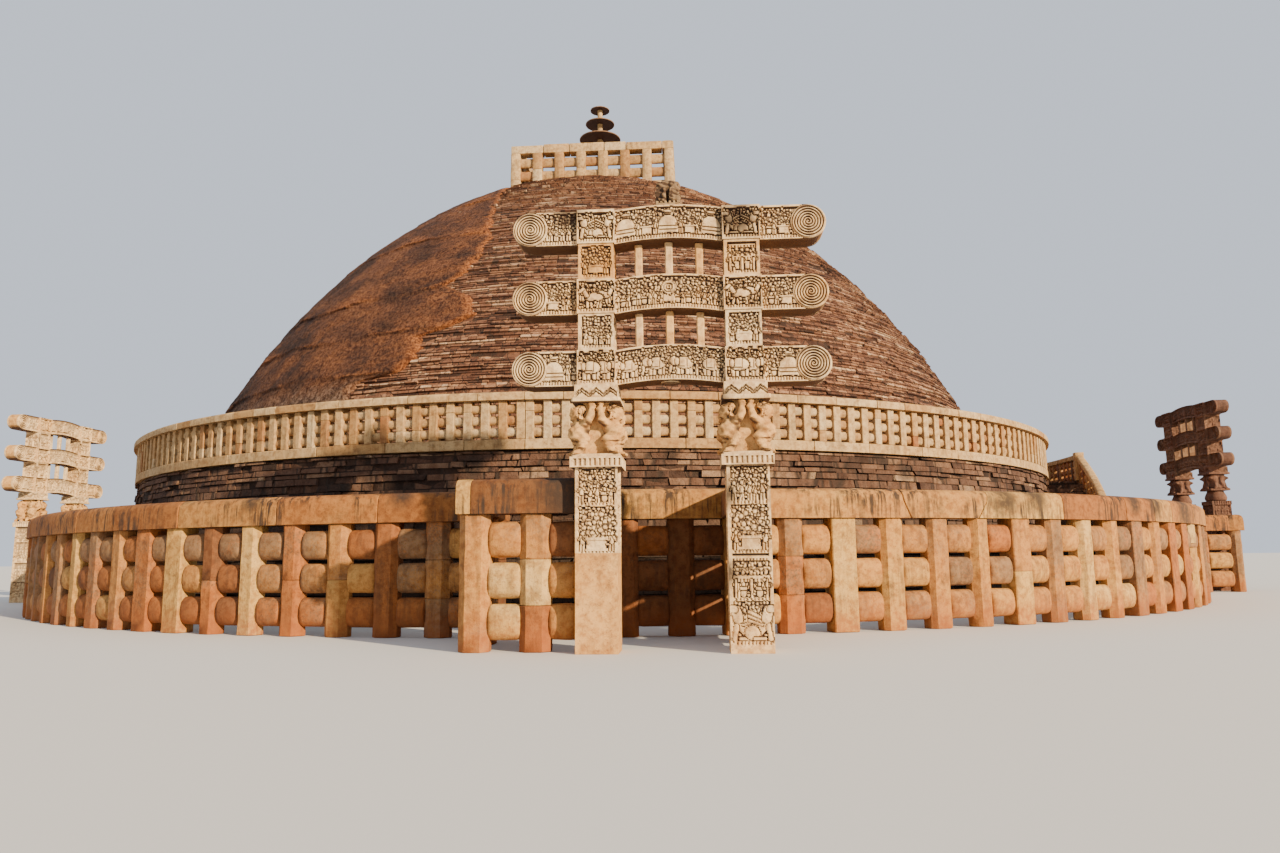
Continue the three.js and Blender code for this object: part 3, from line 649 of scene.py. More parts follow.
PLASTER_EDGE = (
    (-27.0, 16.6), (-25.0, 16.2), (-18.4, 14.8), (-14.2, 13.2), (-12.2, 12.3), (-12.6, 10.9), (-15.2, 10.2),
    (-10.4, 9.5), (-9.4, 8.9), (-12.6, 8.4), (-15.6, 8.2), (-14.6, 7.5), (-17.2, 7.0), (-21.4, 6.8),
    (-23.0, 6.2), (-21.0, 5.6), (-20.0, 4.62),
)
PLASTER_FAR = -128.0
PLASTER_FOOT, PLASTER_HEAD = 4.56, 16.9
PLASTER_LEDGES = (7.05, 8.5, 10.0, 12.6, 14.9)


def plaster_edge(z):
    reach = np.array(PLASTER_EDGE)[::-1]
    near = float(np.interp(z, reach[:, 1], reach[:, 0]))
    return near + 0.25 * math.sin(z * 7.3) + 0.15 * math.sin(z * 17.0 + 1.0)


def under_plaster(turn, z):
    """Whether a stone of the dome lies well behind the plaster."""
    turn -= 360.0 if turn > 180.0 else 0.0
    return 4.9 < z < 16.0 and PLASTER_FAR + 14.0 < turn < plaster_edge(z) - 5.0


def plaster_height(turn, z):
    """How far the plaster stands out, and how close it is to the ragged foot of its band, where a highlight
    is painted.
    """
    angle = math.radians(turn)
    wander = 0.07 * math.sin(angle * 9.1 + z) + 0.05 * math.sin(angle * 23.3 + 2 * z)
    ledges = [4.4] + [ledge + wander for ledge in PLASTER_LEDGES] + [19.0]
    for number, (low, high) in enumerate(zip(ledges, ledges[1:])):
        if z < high:
            share = (z - low) / (high - low)
            worn = 0.6 + 0.4 * math.sin(turn * 0.31 + 5 * number) * math.sin(turn * 0.13 + 2)
            return 0.1 + 0.1 * worn * (1 - share) ** 1.5, worn * (1 - share) ** 5


def build_plaster():
    rows, columns = 170, 120
    heights = np.linspace(PLASTER_FOOT, PLASTER_HEAD, rows)
    points, painted_highlight = [], []
    for z in heights:
        near = plaster_edge(z)
        far = min(PLASTER_FAR + 6 * math.sin(z * 1.7) + 2.5 * math.sin(z * 5.3), near - 4.0)
        ends = min(1.0, (z - PLASTER_FOOT) / 0.2, (PLASTER_HEAD - z) / 0.6)
        for share in np.arange(columns) / (columns - 1):
            turn = near + (far - near) * share ** 1.25
            edge = max(min(ends, (near - turn) / 1.0, (turn - far) / 1.4), 0.0)
            stand, ledge_highlight = plaster_height(turn, z)
            radius = dome_radius(z) + stand * edge ** 0.4 - 0.07 * (1 - edge)
            points.append(round_points(radius, math.radians(turn), z))
            # painted highlight at each ledge's lip and along the plaster's right rim
            painted_highlight.append(max(ledge_highlight, math.exp((turn - near) / 1.6)))
    points = np.array(points)
    lumps = 0.03 * ripple(points, 1.6, 3) + 0.016 * ripple(points, 0.5, 4)
    outward = points * (1, 1, 0) / np.hypot(points[:, 0], points[:, 1])[:, None]
    points += outward * lumps[:, None]
    faces, rim = sheet(rows, columns)
    behind = points[rim] - 0.15 * outward[rim]
    plaster = Stones()
    plaster.add((np.concatenate([points, behind]), faces), 0.5, raised=np.append(painted_highlight, np.zeros(len(rim))))
    plaster.piece("dome_plaster", plaster_material(), smooth_angle=50)


def plaster_material():
    """Earthy plaster, with painted orange highlights at its lips and rims, and grey at its foot."""
    make = Shader("dome_plaster", 0.95)
    wide = make.noise(0.9, 9, 0.72, stretch=(1, 1, 1.6), distortion=0.25)
    rough, fine = make.noise(19.0, 6, 0.75), make.noise(90.0, 4, 0.7)
    fibres = make.noise(30.0, 6, 0.75, stretch=(1, 1, 0.5), distortion=0.8)
    shadow = (0.26, 0.16, 0.11)
    make.color = make.ramp(wide, [(0.36, (0.11, 0.047, 0.025)), (0.47, (0.25, 0.102, 0.048)),
                                  (0.56, (0.42, 0.165, 0.066)), (0.68, (0.58, 0.235, 0.09))])
    # painted highlight, orange, where the ledges and the right rim catch the sun
    painted_highlight = make.vary(make.attribute("raised"), wide, 1.6)
    make.wash(make.between(painted_highlight, 0.3, 0.85, 0.0, 0.8), (0.5, 0.18, 0.055))
    dark = make.times(make.between(make.noise(1.9, 6, 0.7), 0.54, 0.66), make.between(rough, 0.35, 0.6))
    make.wash(make.times(dark, 0.6), DARK_STAIN_AND_SHADE)
    runs = make.between(make.noise(9.0, 6, 0.7, stretch=(1, 1, 0.22)), 0.4, 0.62)
    grey = make.mix(runs, (0.11, 0.07, 0.048), (0.4, 0.27, 0.18))
    make.wash(make.between(make.height(), 3.1, 3.6, 0.75, 0.0), grey)
    make.wash(make.between(rough, 0.46, 0.6, 0.0, 0.85), shadow, "MULTIPLY")
    make.wash(make.between(fibres, 0.46, 0.58, 0.0, 0.8), shadow, "MULTIPLY")
    make.dent(fine, 0.006, 0.8)
    make.dent(fibres, 0.04, 1.0)
    make.dent(rough, 0.06, 1.0)
    return make.finish(), "dome_stone"


# The terrace: its wall, kerb and railing

def build_terrace():
    courses, core, flags, kerb = Stones(), Stones(), Stones(), Stones()
    shoulder, floor = DRUM["shoulder"], DRUM["floor"]
    inner, outer = KERB["inner"], KERB["outer"]
    wall = [(DRUM["foot"], 0.0), (DRUM["top"], shoulder - 0.02)]
    masonry(courses, wall, 21, **DRUM_COURSES)
    courses.piece("drum_courses", drum_stone, ["terrace_drum"])
    under_kerb, under_paving = shoulder - 0.03, floor - 0.06
    backing = [(DRUM["foot"] - CORE_SETBACK, 0.0), (DRUM["top"] - CORE_SETBACK, under_kerb)]
    backing += [(inner + CORE_SETBACK, height) for height in (under_kerb, under_paving)]
    backing.append((15.0, under_paving))
    core.add(lathe(backing, CORE_SIDES), NEAR_BLACK)
    core.piece("drum_core", drum_stone)
    paving = [(inner - 0.01, floor - 0.02), (DOME["radius"] - 0.25, floor - 0.02)]
    masonry(flags, paving, 22, **TERRACE_PAVING)
    flags.piece("terrace_paving", terrace_stone)
    dice = random.Random(23)
    section = [(outer, shoulder), (outer, floor - 0.02), (outer - 0.02, floor)]
    section += [(inner, floor), (inner, shoulder)]
    lay_ring(kerb, section, stone_edges(0.0, 360.0, (3.5, 6.0), dice), dice, tone=TONES["kerb"], odd=0.1)
    kerb.piece("terrace_kerb_stones", terrace_stone, ["terrace_kerb"])


def stone_edges(start, end, lengths, dice, fixed=()):
    """Joints from start to end: the fixed ones, and between far ones others at random."""
    marks = [start] + [mark for mark in sorted(fixed) if start < mark < end] + [end]
    edges = [start]
    for low, high in zip(marks, marks[1:]):
        count = max(1, round((high - low) / dice.uniform(*lengths)))
        step = (high - low) / count
        edges += [low + step * (k + dice.uniform(-0.2, 0.2)) for k in range(1, count)] + [high]
    return edges


def lay_ring(stones, section, edges, dice, spot=CENTRE, tone=(0.5, 0.15), gap=0.012, leans=None, lift=None,
             odd=0.0):
    """Long stones of one section laid round a circle between joints given as directions. A share of
    them, odd, are of a browner stone, and leans says how far the joint at a direction undercuts."""
    half = math.degrees(gap / 2 / section[0][0])
    leans = leans or {}
    for low, high in zip(edges, edges[1:]):
        lean = (leans.get(low, 0.0), leans.get(high, 0.0))
        shade = BROWNER if dice.random() < odd else dice.gauss(*tone)
        lay_bent(stones, section, low + half, high - half, shade, dice, spot, lean=lean, lift=lift)


def lay_bent(stones, section, low, high, tone, dice, spot=CENTRE, bevel=0.012, lean=(0.0, 0.0), lift=None):
    """One stone bent to a circle. lean shifts the foot of each end along, in degrees, and
    lift(direction) raises it, as beside a flight of steps."""
    section = np.array(section)
    count = max(2, int(round((high - low) / 1.2)) + 1)
    bottom, top = section[:, 1].min(), section[:, 1].max()
    middle = section.mean(axis=0)
    shift = dice.uniform(-0.006, 0.006)
    rings = []
    for share in [0.0, 0.006, *np.linspace(0, 1, count)[1:-1], 0.994, 1.0]:
        ring = section + (shift, 0.0)
        if share in (0.0, 1.0):
            ring = middle + (ring - middle) * (1 - bevel / 0.2)
        depth = ((top - ring[:, 1]) / (top - bottom)) ** 2.5
        place = low + (high - low) * share
        turn = np.radians(place + depth * (lean[0] * (1 - share) ** 3 + lean[1] * share ** 3))
        rings.append(round_points(ring[:, 0], turn, ring[:, 1] + (lift(place) if lift else 0.0)))
    stones.add(loft(rings), tone, spot)


def rounded_coping(outer, inner, base, shoulder, top):
    """Section of a coping whose top is rounded between its shoulders."""
    count, fullness = 8, 0.75
    middle, half = (outer + inner) / 2, (outer - inner) / 2
    crown = []
    for k in range(count + 1):
        turn = math.pi * k / count
        across = math.copysign(abs(math.cos(turn)) ** fullness, math.cos(turn))
        crown.append((middle + half * across, shoulder + (top - shoulder) * math.sin(turn) ** fullness))
    return [(inner, base), (outer, base)] + crown


TERRACE_QUARTERS = {
    "southwest": (0.0, 90 - STAIR["landing"]),
    "southeast": (90 + STAIR["landing"], 180.0),
    "northeast": (180.0, 270.0),
    "northwest": (270.0, 360.0),
}


def build_terrace_railing(name, start, end, seed):
    dice = random.Random(seed)
    posts, rails, coping = Stones(), Stones(), Stones()
    radius, width = TERRACE_POST["radius"], TERRACE_POST["width"]
    base, top = TERRACE_COPING["base"], TERRACE_COPING["top"]
    edge = math.degrees(width / 2 / radius) + 0.02
    reach = end - start - 2 * edge
    bays = round(reach / math.degrees(TERRACE_POST["pitch"] / radius))
    span = TERRACE_POST["pitch"] - width + 0.04
    for bay in range(bays + 1):
        turn = start + edge + reach * bay / bays
        split = dice.choice((0, 0, 0, 0, 0.3, 0.72))
        tone = dice.gauss(*TONES["terrace_post"])
        for z0, z1 in two_stones(DRUM["floor"], base, split):
            if split:
                tone = max(dice.gauss(*TONES["pieced_terrace_post"]), DARKEST["terrace"])
            block = worn_block(width / 2, TERRACE_POST["depth"] / 2, z0, z1, 0.012, dice, 2, 0.004)
            posts.add(block, tone, round_spot(radius, turn))
        if bay < bays:
            for centre in TERRACE_RAIL["centres"]:
                shape = rail(span, centre, TERRACE_RAIL, dice, 10, rings=3)
                tone = dice.gauss(*TONES["terrace_rail"])
                rails.add(shape, tone, round_spot(radius, turn + reach / bays / 2))
    section = rounded_coping(TERRACE_COPING["outer"], TERRACE_COPING["inner"], base, top - 0.07, top)
    edges = stone_edges(start, end, (3.0, 6.5), dice)
    lay_ring(coping, section, edges, dice, tone=TONES["terrace_coping"], odd=0.12)
    posts.piece(f"terrace_posts_{name}", terrace_stone, [f"terrace_railing_{name}"])
    rails.piece(f"terrace_rails_{name}", terrace_stone, smooth_angle=50)
    coping.piece(f"terrace_coping_{name}", terrace_stone, smooth_angle=50)


# The south stair

SOUTH = 90


def stair_line(turn):
    """Height of the nosing line at a direction."""
    down = (abs(turn - SOUTH) - STAIR["landing"]) / STAIR["flight"]
    return DRUM["floor"] * (1 - min(max(down, 0.0), 1.0) * STAIR["steps"] / (STAIR["steps"] + 1))


def build_stair():
    dice = random.Random(31)
    landing, flight, steps = STAIR["landing"], STAIR["flight"], STAIR["steps"]
    reach, floor = landing + flight, DRUM["floor"]
    outer, inner = STAIR["outer"], STAIR["inner"]
    wall, core, treads = Stones(), Stones(), Stones()
    masonry(wall, [(outer, 0.0), (outer, floor - 0.03)], 32, **STAIR_COURSES,
            span=(SOUTH - reach, SOUTH + reach), below=lambda turn: stair_line(turn) - 0.1)
    cap = [(outer, 0.0), (outer - 0.03, 0.02), (outer - 0.2, 0.02), (outer - 0.2, -0.14), (outer, -0.14)]
    for side in (-1, 1):
        ends = sorted((SOUTH + side * landing, SOUTH + side * reach))
        edges = stone_edges(*ends, (1.6, 3.0), dice)
        lay_ring(wall, cap, edges, dice, tone=TONES["stair_cap"], lift=stair_line)
    wall.piece("stair_wall", drum_stone, ["stair_landing", "stair_flight_west", "stair_flight_east"])

    def core_block(low, high, top):
        section = [(outer - 0.03, 0.0), (outer - 0.03, top), (inner, top), (inner, 0.0)]
        lay_bent(core, section, low, high, DARK_CORE, dice, bevel=0.0)

    count = 12
    for side in (-1, 1):
        low = SOUTH + side * landing
        for k in range(count):
            ends = sorted((low + side * flight * k / count, low + side * flight * (k + 1) / count))
            core_block(*ends, min(stair_line(ends[0]), stair_line(ends[1])) - 0.12)
    core_block(SOUTH - landing, SOUTH + landing, floor - 0.08)
    core.piece("stair_core", drum_stone)
    for side in (-1, 1):
        for step in range(steps):
            near = SOUTH + side * (landing + step * flight / steps)
            low, high = sorted((near, near + side * flight / steps))
            top = floor * (1 - (step + 1) / (steps + 1))
            under = max(top - 0.22, 0.0)
            split = dice.uniform(18.9, 19.7)
            for out, back in ((outer - STAIR["wall"], split + 0.005), (split - 0.005, inner)):
                tread = [(out, top), (back, top), (back, under), (out, under)]
                lay_bent(treads, tread, low + 0.01, high - 0.01, dice.gauss(*TONES["tread"]), dice)
    flags = [(outer - 0.03, floor - 0.015), (inner, floor - 0.015)]
    span = (SOUTH - landing, SOUTH + landing)
    masonry(treads, flags, 33, **LANDING_PAVING, span=span)
    treads.piece("stair_treads", drum_stone)
    for side, name in ((-1, "west"), (1, "east")):
        build_stair_railing(name, side, dice)


def build_stair_railing(name, side, dice):
    railing = Stones()
    deep, radius = STAIR["wall"] / 2, STAIR["outer"] - STAIR["wall"] / 2
    web, top, over = STAIR_RAILING["web"], STAIR_RAILING["height"], STAIR_RAILING["overhang"]
    reach, from_end = STAIR["landing"] + STAIR["flight"], STAIR_POST["from_end"]
    count = round((reach - 0.4) / math.degrees(STAIR_POST["pitch"] / radius))
    step = (reach - 2 * from_end) / count
    for k in range(count + 1):
        turn = SOUTH + side * (from_end + (reach - 2 * from_end) * k / count)
        foot = stair_line(turn) + 0.02
        block = worn_block(STAIR_POST["width"] / 2, deep, foot - 0.05, foot + web, 0.012, dice, 2, 0.004)
        railing.add(block, dice.gauss(*TONES["stair_post"]), round_spot(radius, turn))
        if k < count:
            middle = turn + side * step / 2
            rise = (stair_line(turn + side * step) - stair_line(turn)) / math.radians(step) / radius
            for up in STAIR_RAIL["centres"]:
                centre = stair_line(middle) + up
                shape = rail(STAIR_RAIL["length"], centre, STAIR_RAIL, dice, 10, slope=rise * side)
                railing.add(shape, dice.gauss(*TONES["stair_rail"]), round_spot(radius, middle))
    section = rounded_coping(radius + deep + over, radius - deep - over, web, top - 0.06, top)
    ends = sorted((SOUTH + side * 0.02, SOUTH + side * reach))
    edges = stone_edges(*ends, (2.0, 3.4), dice, fixed=(SOUTH + side * STAIR["landing"],))
    lay_ring(railing, section, edges, dice, tone=TONES["stair_coping"], lift=stair_line)
    half, floor = math.radians(STAIR_RAILING["newel"]) * radius, DRUM["floor"]
    newel = worn_block(half, 0.17, floor + 0.003, floor + STAIR_RAILING["newel_height"], 0.02, dice)
    railing.add(newel, 0.6, round_spot(radius, SOUTH + side * STAIR["landing"]))
    railing.piece(f"stair_railing_{name}_open", terrace_stone, [f"stair_railing_{name}"], 45)


# The summit: square railing, mast and umbrellas

def build_harmika():
    dice = random.Random(41)
    coping = Stones()
    post, outside, width = HARMIKA["post"], HARMIKA["side"] / 2, HARMIKA["coping"]
    base, top = HARMIKA["coping_base"], HARMIKA["top"]
    half = outside - post / 2
    spacing = 2 * half / (HARMIKA["posts"] - 1)
    for name, direction in (("west", 0), ("south", 90), ("east", 180), ("north", 270)):
        stones = Stones()
        side = Spot(0.0, 0.0, direction)
        for k in range(HARMIKA["posts"] - 1):
            x = -half + k * spacing
            cut = dice.choice((0.0, 0.0, 0.0, 0.35, 0.6))
            for z0, z1 in two_stones(DOME["top"], base, cut):
                block = worn_block(post / 2, post / 2, z0, z1, 0.03, dice, 4, 0.008)
                tone = max(dice.gauss(*TONES["harmika_post"]), DARKEST["harmika"])
                stones.add(block, tone, side.at(x, -half))
            for centre in HARMIKA_RAIL["centres"]:
                shape = rail(spacing - post + 2 * LET_IN, centre, HARMIKA_RAIL, dice)
                tone = max(dice.gauss(*TONES["harmika_rail"]), DARKEST["harmika_rail"])
                stones.add(shape, tone, side.at(x + spacing / 2, -half))
        stones.piece(f"harmika_posts_and_rails_{name}", terrace_stone, [f"harmika_railing_{name}"], 45)
    for direction in (0, 90, 180, 270):
        edges = stone_edges(-outside, outside - width, (1.1, 1.9), dice)
        for x0, x1 in zip(edges, edges[1:]):
            high = top + (0.07 if abs(x0 + x1) < outside else 0.01) + dice.uniform(-0.03, 0.02)
            block = straight_stone(x0 + 0.014, x1 - 0.014, width, base, high - 0.05, high, dice)
            spot = Spot(0.0, 0.0, direction).at(0.0, width / 2 - outside)
            coping.add(block, max(dice.gauss(*TONES["harmika_coping"]), DARKEST["harmika"]), spot)
    coping.piece("harmika_coping_stones", terrace_stone, ["harmika_coping"], 45)


def straight_stone(x0, x1, width, base, shoulder, top, dice, wear=0.006):
    """A length of coping along x whose top is rounded across."""
    section = np.array(rounded_coping(width / 2, -width / 2, base, shoulder, top))
    middle = section.mean(axis=0)
    rings = []
    count = max(2, round((x1 - x0) / 0.35))
    for share in [0.0, 0.012, *np.linspace(0, 1, count + 1)[1:-1], 0.988, 1.0]:
        size = 0.95 if share in (0.0, 1.0) else 1.0 - dice.uniform(0, wear)
        ring = middle + (section - middle) * size
        rings.append(np.stack([np.full(len(ring), x0 + (x1 - x0) * share), ring[:, 0], ring[:, 1]], axis=1))
    return loft(rings)


MAST_BASE = ((0.0, 0.3), (0.1, 0.32), (0.2, 0.28))  # how far each stone is set in, and its height
UMBRELLA_DISC = ((0.16, 0.12), (0.9, 0.02), (0.985, 0.0), (1.0, 0.1), (0.985, 0.22), (0.9, 0.34), (0.7, 0.58),
                 (0.45, 0.8), (0.16, 1.0))
UMBRELLA_RIM = ((0.99, 0.2), (1.0, 0.08), (0.99, -0.03), (0.95, -0.02), (0.95, 0.18), (0.99, 0.2))


def build_mast():
    dice = random.Random(42)
    mast = Stones()
    low = DOME["top"]
    for k, (inset, height) in enumerate(MAST_BASE):
        half = MAST["base"] / 2 - inset
        mast.add(worn_block(half, half, low, low + height, 0.03, dice), 0.55 + 0.1 * k)
        low += height
    foot, wide = DOME["top"] + MAST["base_height"] / 2, MAST["radius"]
    shaft = [(wide * 1.3, foot), (wide * 1.15, 19.4), (wide, 21.2), (wide, 22.9), (wide * 0.5, MAST["top"])]
    mast.add(lathe(shaft, 20), 0.75)
    mast.piece("mast_shaft", terrace_stone, ["mast"], 45)
    for name, (radius, base, thick) in UMBRELLAS.items():
        disc = Stones()
        for profile, size, tone in ((UMBRELLA_DISC, radius * 0.96, 0.3), (UMBRELLA_RIM, radius, 1.0)):
            disc.add(lathe([(out * size, base + up * thick) for out, up in profile], 48), tone)
        disc.piece(f"{name}_disc", umbrella_stone, [name], 40)


# The ground railing: a ring of posts, lens-shaped rails and a rounded coping

# Joints of the coping seen in the photograph, and the one stone whose ends undercut its neighbours
SEEN_JOINTS = (-15.3, -8.9, 20.2, 26.0, 32.2, 39.0, 43.1, 46.3)
SCARF = {20.2: 0.5, 26.0: -0.74}
SCREEN_TONES = ((0.62,), (0.27, 0.93, 0.62))
SCREEN_RAILS = ((0.9, 0.88, 0.6), (0.66, 0.7, 0.2))  # from the ground up
# Dark tones that paint shade on the rails of the first two bays leaving the west gateway southward, from the
# ground up
PAINTED_SHADE_RAILS = ((0.1, 0.16, 0.3), (0.12, 0.1, 0.14))

# Tones of the posts on either side of the west gateway, from it outwards, each from the ground up
# The dark first post north of the gateway is partly its stone and partly painted shade.
POSTS_NORTH = (
    (0.1, 0.07, 0.14), (0.46, 0.52, 0.5), (0.3,), (0.72, 0.6), (0.38, 0.42), (0.88,), (0.4, 0.1), (0.82,),
    (0.4,), (0.6,), (0.45,), (0.8,), (0.5,), (0.65,),
)
POSTS_SOUTH = (
    (0.2,), (0.12,), (0.7,), (0.4, 0.42, 0.56), (0.86,), (0.76,), (0.6,), (0.66,), (0.8, 0.6), (0.55,),
    (0.9,), (0.68,), (0.5,),
)


def direction_of(along):
    return math.degrees(math.asin(along / RING["radius"]))


def ring_runs():
    """Each stretch of the ring: the gateway it leaves, the next one, and its end directions."""
    for gate, following in zip(GATES, GATES[1:] + GATES[:1]):
        start = gate["direction"] + direction_of(gate["gap"][1])
        end = following["direction"] + direction_of(following["gap"][0])
        yield gate, following, start, end + (360 if end < start else 0)


def ground_post(stones, spot, dice, tones=None, chamfer=None, mean=0.55):
    """A post of the ground railing, in one stone or pieced together from several."""
    chamfer = chamfer or dice.choice((0.02, 0.1, 0.12, 0.14, 0.14))
    cuts = [0.0, 1.0]
    if tones or dice.random() < 0.3:
        cuts[1:1] = sorted(dice.uniform(0.25, 0.85) for _ in range(dice.choice((1, 1, 2))))
    if tones:
        cuts = [k / len(tones) for k in range(len(tones) + 1)]
    bites = 0.3 if dice.random() < 0.2 and not tones else 0.0
    for k, (low, high) in enumerate(zip(cuts, cuts[1:])):
        levels = max(2, round((high - low) * 8))
        ends = (low * GROUND_COPING["base"] + 0.003, high * GROUND_COPING["base"] - 0.003)
        half, deep = GROUND_POST["width"] / 2, GROUND_POST["depth"] / 2
        shape = worn_block(half, deep, *ends, chamfer, dice, levels, 0.003, bites)
        stones.add(shape, tones[k] if tones else dice.gauss(mean, 0.16), spot)


def ground_rails(stones, start, end, dice, trims, tones=None, mean=0.6):
    """Three rails between two places, from one post's side to the other's."""
    span, spot = line(start, end)
    middle = spot.at((span + trims[0] - trims[1]) / 2, 0.0)
    for k, centre in enumerate(GROUND_RAIL["centres"]):
        shape = rail(span - sum(trims), centre, GROUND_RAIL, dice, rings=2, shoulder=0.11)
        stones.add(shape, tones[k] if tones else dice.gauss(mean, 0.18), middle)


def straight_coping(stones, start, end, dice, extras, lengths=(1.6, 2.8), first=0.0):
    """Coping from one place to another and extras past them. first is the length of a pale end
    stone, and the rest is then one dark stone."""
    span, spot = line(start, end)
    edges = stone_edges(-extras[0], span + extras[1], lengths, dice)
    if first:
        edges = [edges[0], edges[0] + first, edges[-1]]
    form = [GROUND_COPING[key] for key in ("width", "base", "shoulder", "top")]
    for x0, x1 in zip(edges, edges[1:]):
        shape = straight_stone(x0 + 0.004, x1 - 0.004, *form, dice, 0.012)
        tone = dice.gauss(0.5, 0.16)
        if first:
            tone = 0.95 if x0 == edges[0] else 0.12
        stones.add(shape, tone, spot)


def build_ground_railing(gate, following, start, end, seed):
    dice = random.Random(seed)
    posts, rails, coping = Stones(), Stones(), Stones()
    from_west, to_west = gate["name"] == "west", following["name"] == "west"
    bays = round((end - start) / RING["spacing"])
    places = [round_spot(RING["radius"], start + (end - start) * k / bays, RING_X) for k in range(bays + 1)]
    into_post, into_side = GROUND_POST["width"] / 2 - LET_IN, GROUND_POST["depth"] / 2 - LET_IN
    into_pillar = PILLAR["width"] / 2 + LET_IN
    # Every run but the one leaving the west gateway southward gets darker posts, rails and coping: partly
    # their stone, partly painted shade.
    post_mean, rail_mean = (0.6, 0.64) if from_west else (0.46, 0.45)
    known = dict(enumerate(POSTS_SOUTH)) if from_west else {}
    if to_west:
        known = dict(zip(range(bays, -1, -1), POSTS_NORTH))
    for k, place in enumerate(places):
        ground_post(posts, place, dice, known.get(k), mean=post_mean)
    for k, (first, second) in enumerate(zip(places, places[1:])):
        tones = PAINTED_SHADE_RAILS[k] if from_west and k < len(PAINTED_SHADE_RAILS) else None
        ground_rails(rails, first, second, dice, (into_post, into_post), tones, rail_mean)

    # From the ring's nearest post out to the back of the gateway's right pillar
    pillar = gate_spot(gate).at(PILLAR["x"], PILLAR["width"] / 2)
    nearest = min(places, key=lambda place: math.hypot(place.x - pillar.x, place.y - pillar.y))
    halfway = Spot((nearest.x + pillar.x) / 2, (nearest.y + pillar.y) / 2, gate["direction"] + 90)
    ground_post(posts, halfway, dice)
    ground_rails(rails, nearest, halfway, dice, (into_side, into_post))
    ground_rails(rails, halfway, pillar, dice, (into_post, into_pillar))
    straight_coping(coping, nearest, pillar, dice, (-AFTER_RING, -into_pillar))

    # From the ring's last post out to the screen's corner, and along it to the left pillar
    face = gate_spot(following)
    screen = [face.at(x, SCREEN_SETBACK) for x in following["screen"]]
    last, corner, pillar = places[-1], screen[0], face.at(-PILLAR["x"], SCREEN_SETBACK)
    halfway = Spot((last.x + corner.x) / 2, (last.y + corner.y) / 2, following["direction"] + 90)
    ground_post(posts, halfway, dice)
    for k, place in enumerate(screen):
        ground_post(posts, place, dice, SCREEN_TONES[k] if to_west else None, chamfer=0.13)
    ground_rails(rails, last, halfway, dice, (into_side, into_post))
    ground_rails(rails, halfway, corner, dice, (into_post, into_side))
    for k, (first, second) in enumerate(zip(screen, screen[1:] + [pillar])):
        trims = (into_post, into_pillar if second is pillar else into_post)
        ground_rails(rails, first, second, dice, trims, SCREEN_RAILS[k] if to_west else None)
    straight_coping(coping, last, corner, dice, (-AFTER_RING, -GROUND_COPING["width"] / 2))
    extras = (CORNER_OVERHANG, -into_pillar)
    straight_coping(coping, corner, pillar, dice, extras, (1.2, 2.2), PALE_END if to_west else 0.0)

    base, shoulder, top = (GROUND_COPING[key] for key in ("base", "shoulder", "top"))
    section = rounded_coping(RING["coping_outer"], RING["coping_inner"], base, shoulder, top)
    joints = [mark + (360 if mark < start else 0) for mark in SEEN_JOINTS]
    joints = [mark for mark in joints if start + 1 < mark < end - 1]
    edges = stone_edges(start - END_OVERHANG, end + END_OVERHANG, (4.5, 7.5), dice, joints)
    # darker coping on those runs, partly painted shade
    lay_ring(coping, section, edges, dice, Spot(RING_X, 0.0), (0.64 if from_west else 0.5, 0.14), 0.01, SCARF)
    label = f"{gate['name']}_to_{following['name']}"
    nodes = [f"ground_railing_{label}_a", f"ground_railing_{label}_b"]
    posts.piece(f"ground_posts_{label}", railing_stone, nodes, 40)
    rails.piece(f"ground_rails_{label}", railing_stone, smooth_angle=40)
    coping.piece(f"ground_coping_stones_{label}", coping_stone, [f"ground_coping_{label}"], 40)


# Carving in low relief

GROUND_LINE = 0.014  # width of the cut round a carved shape
CUT = 0.05  # how deep the carving goes
FINE, COARSE = 0.0165, 0.045  # cells of the carved faces that the photograph shows, and of the others


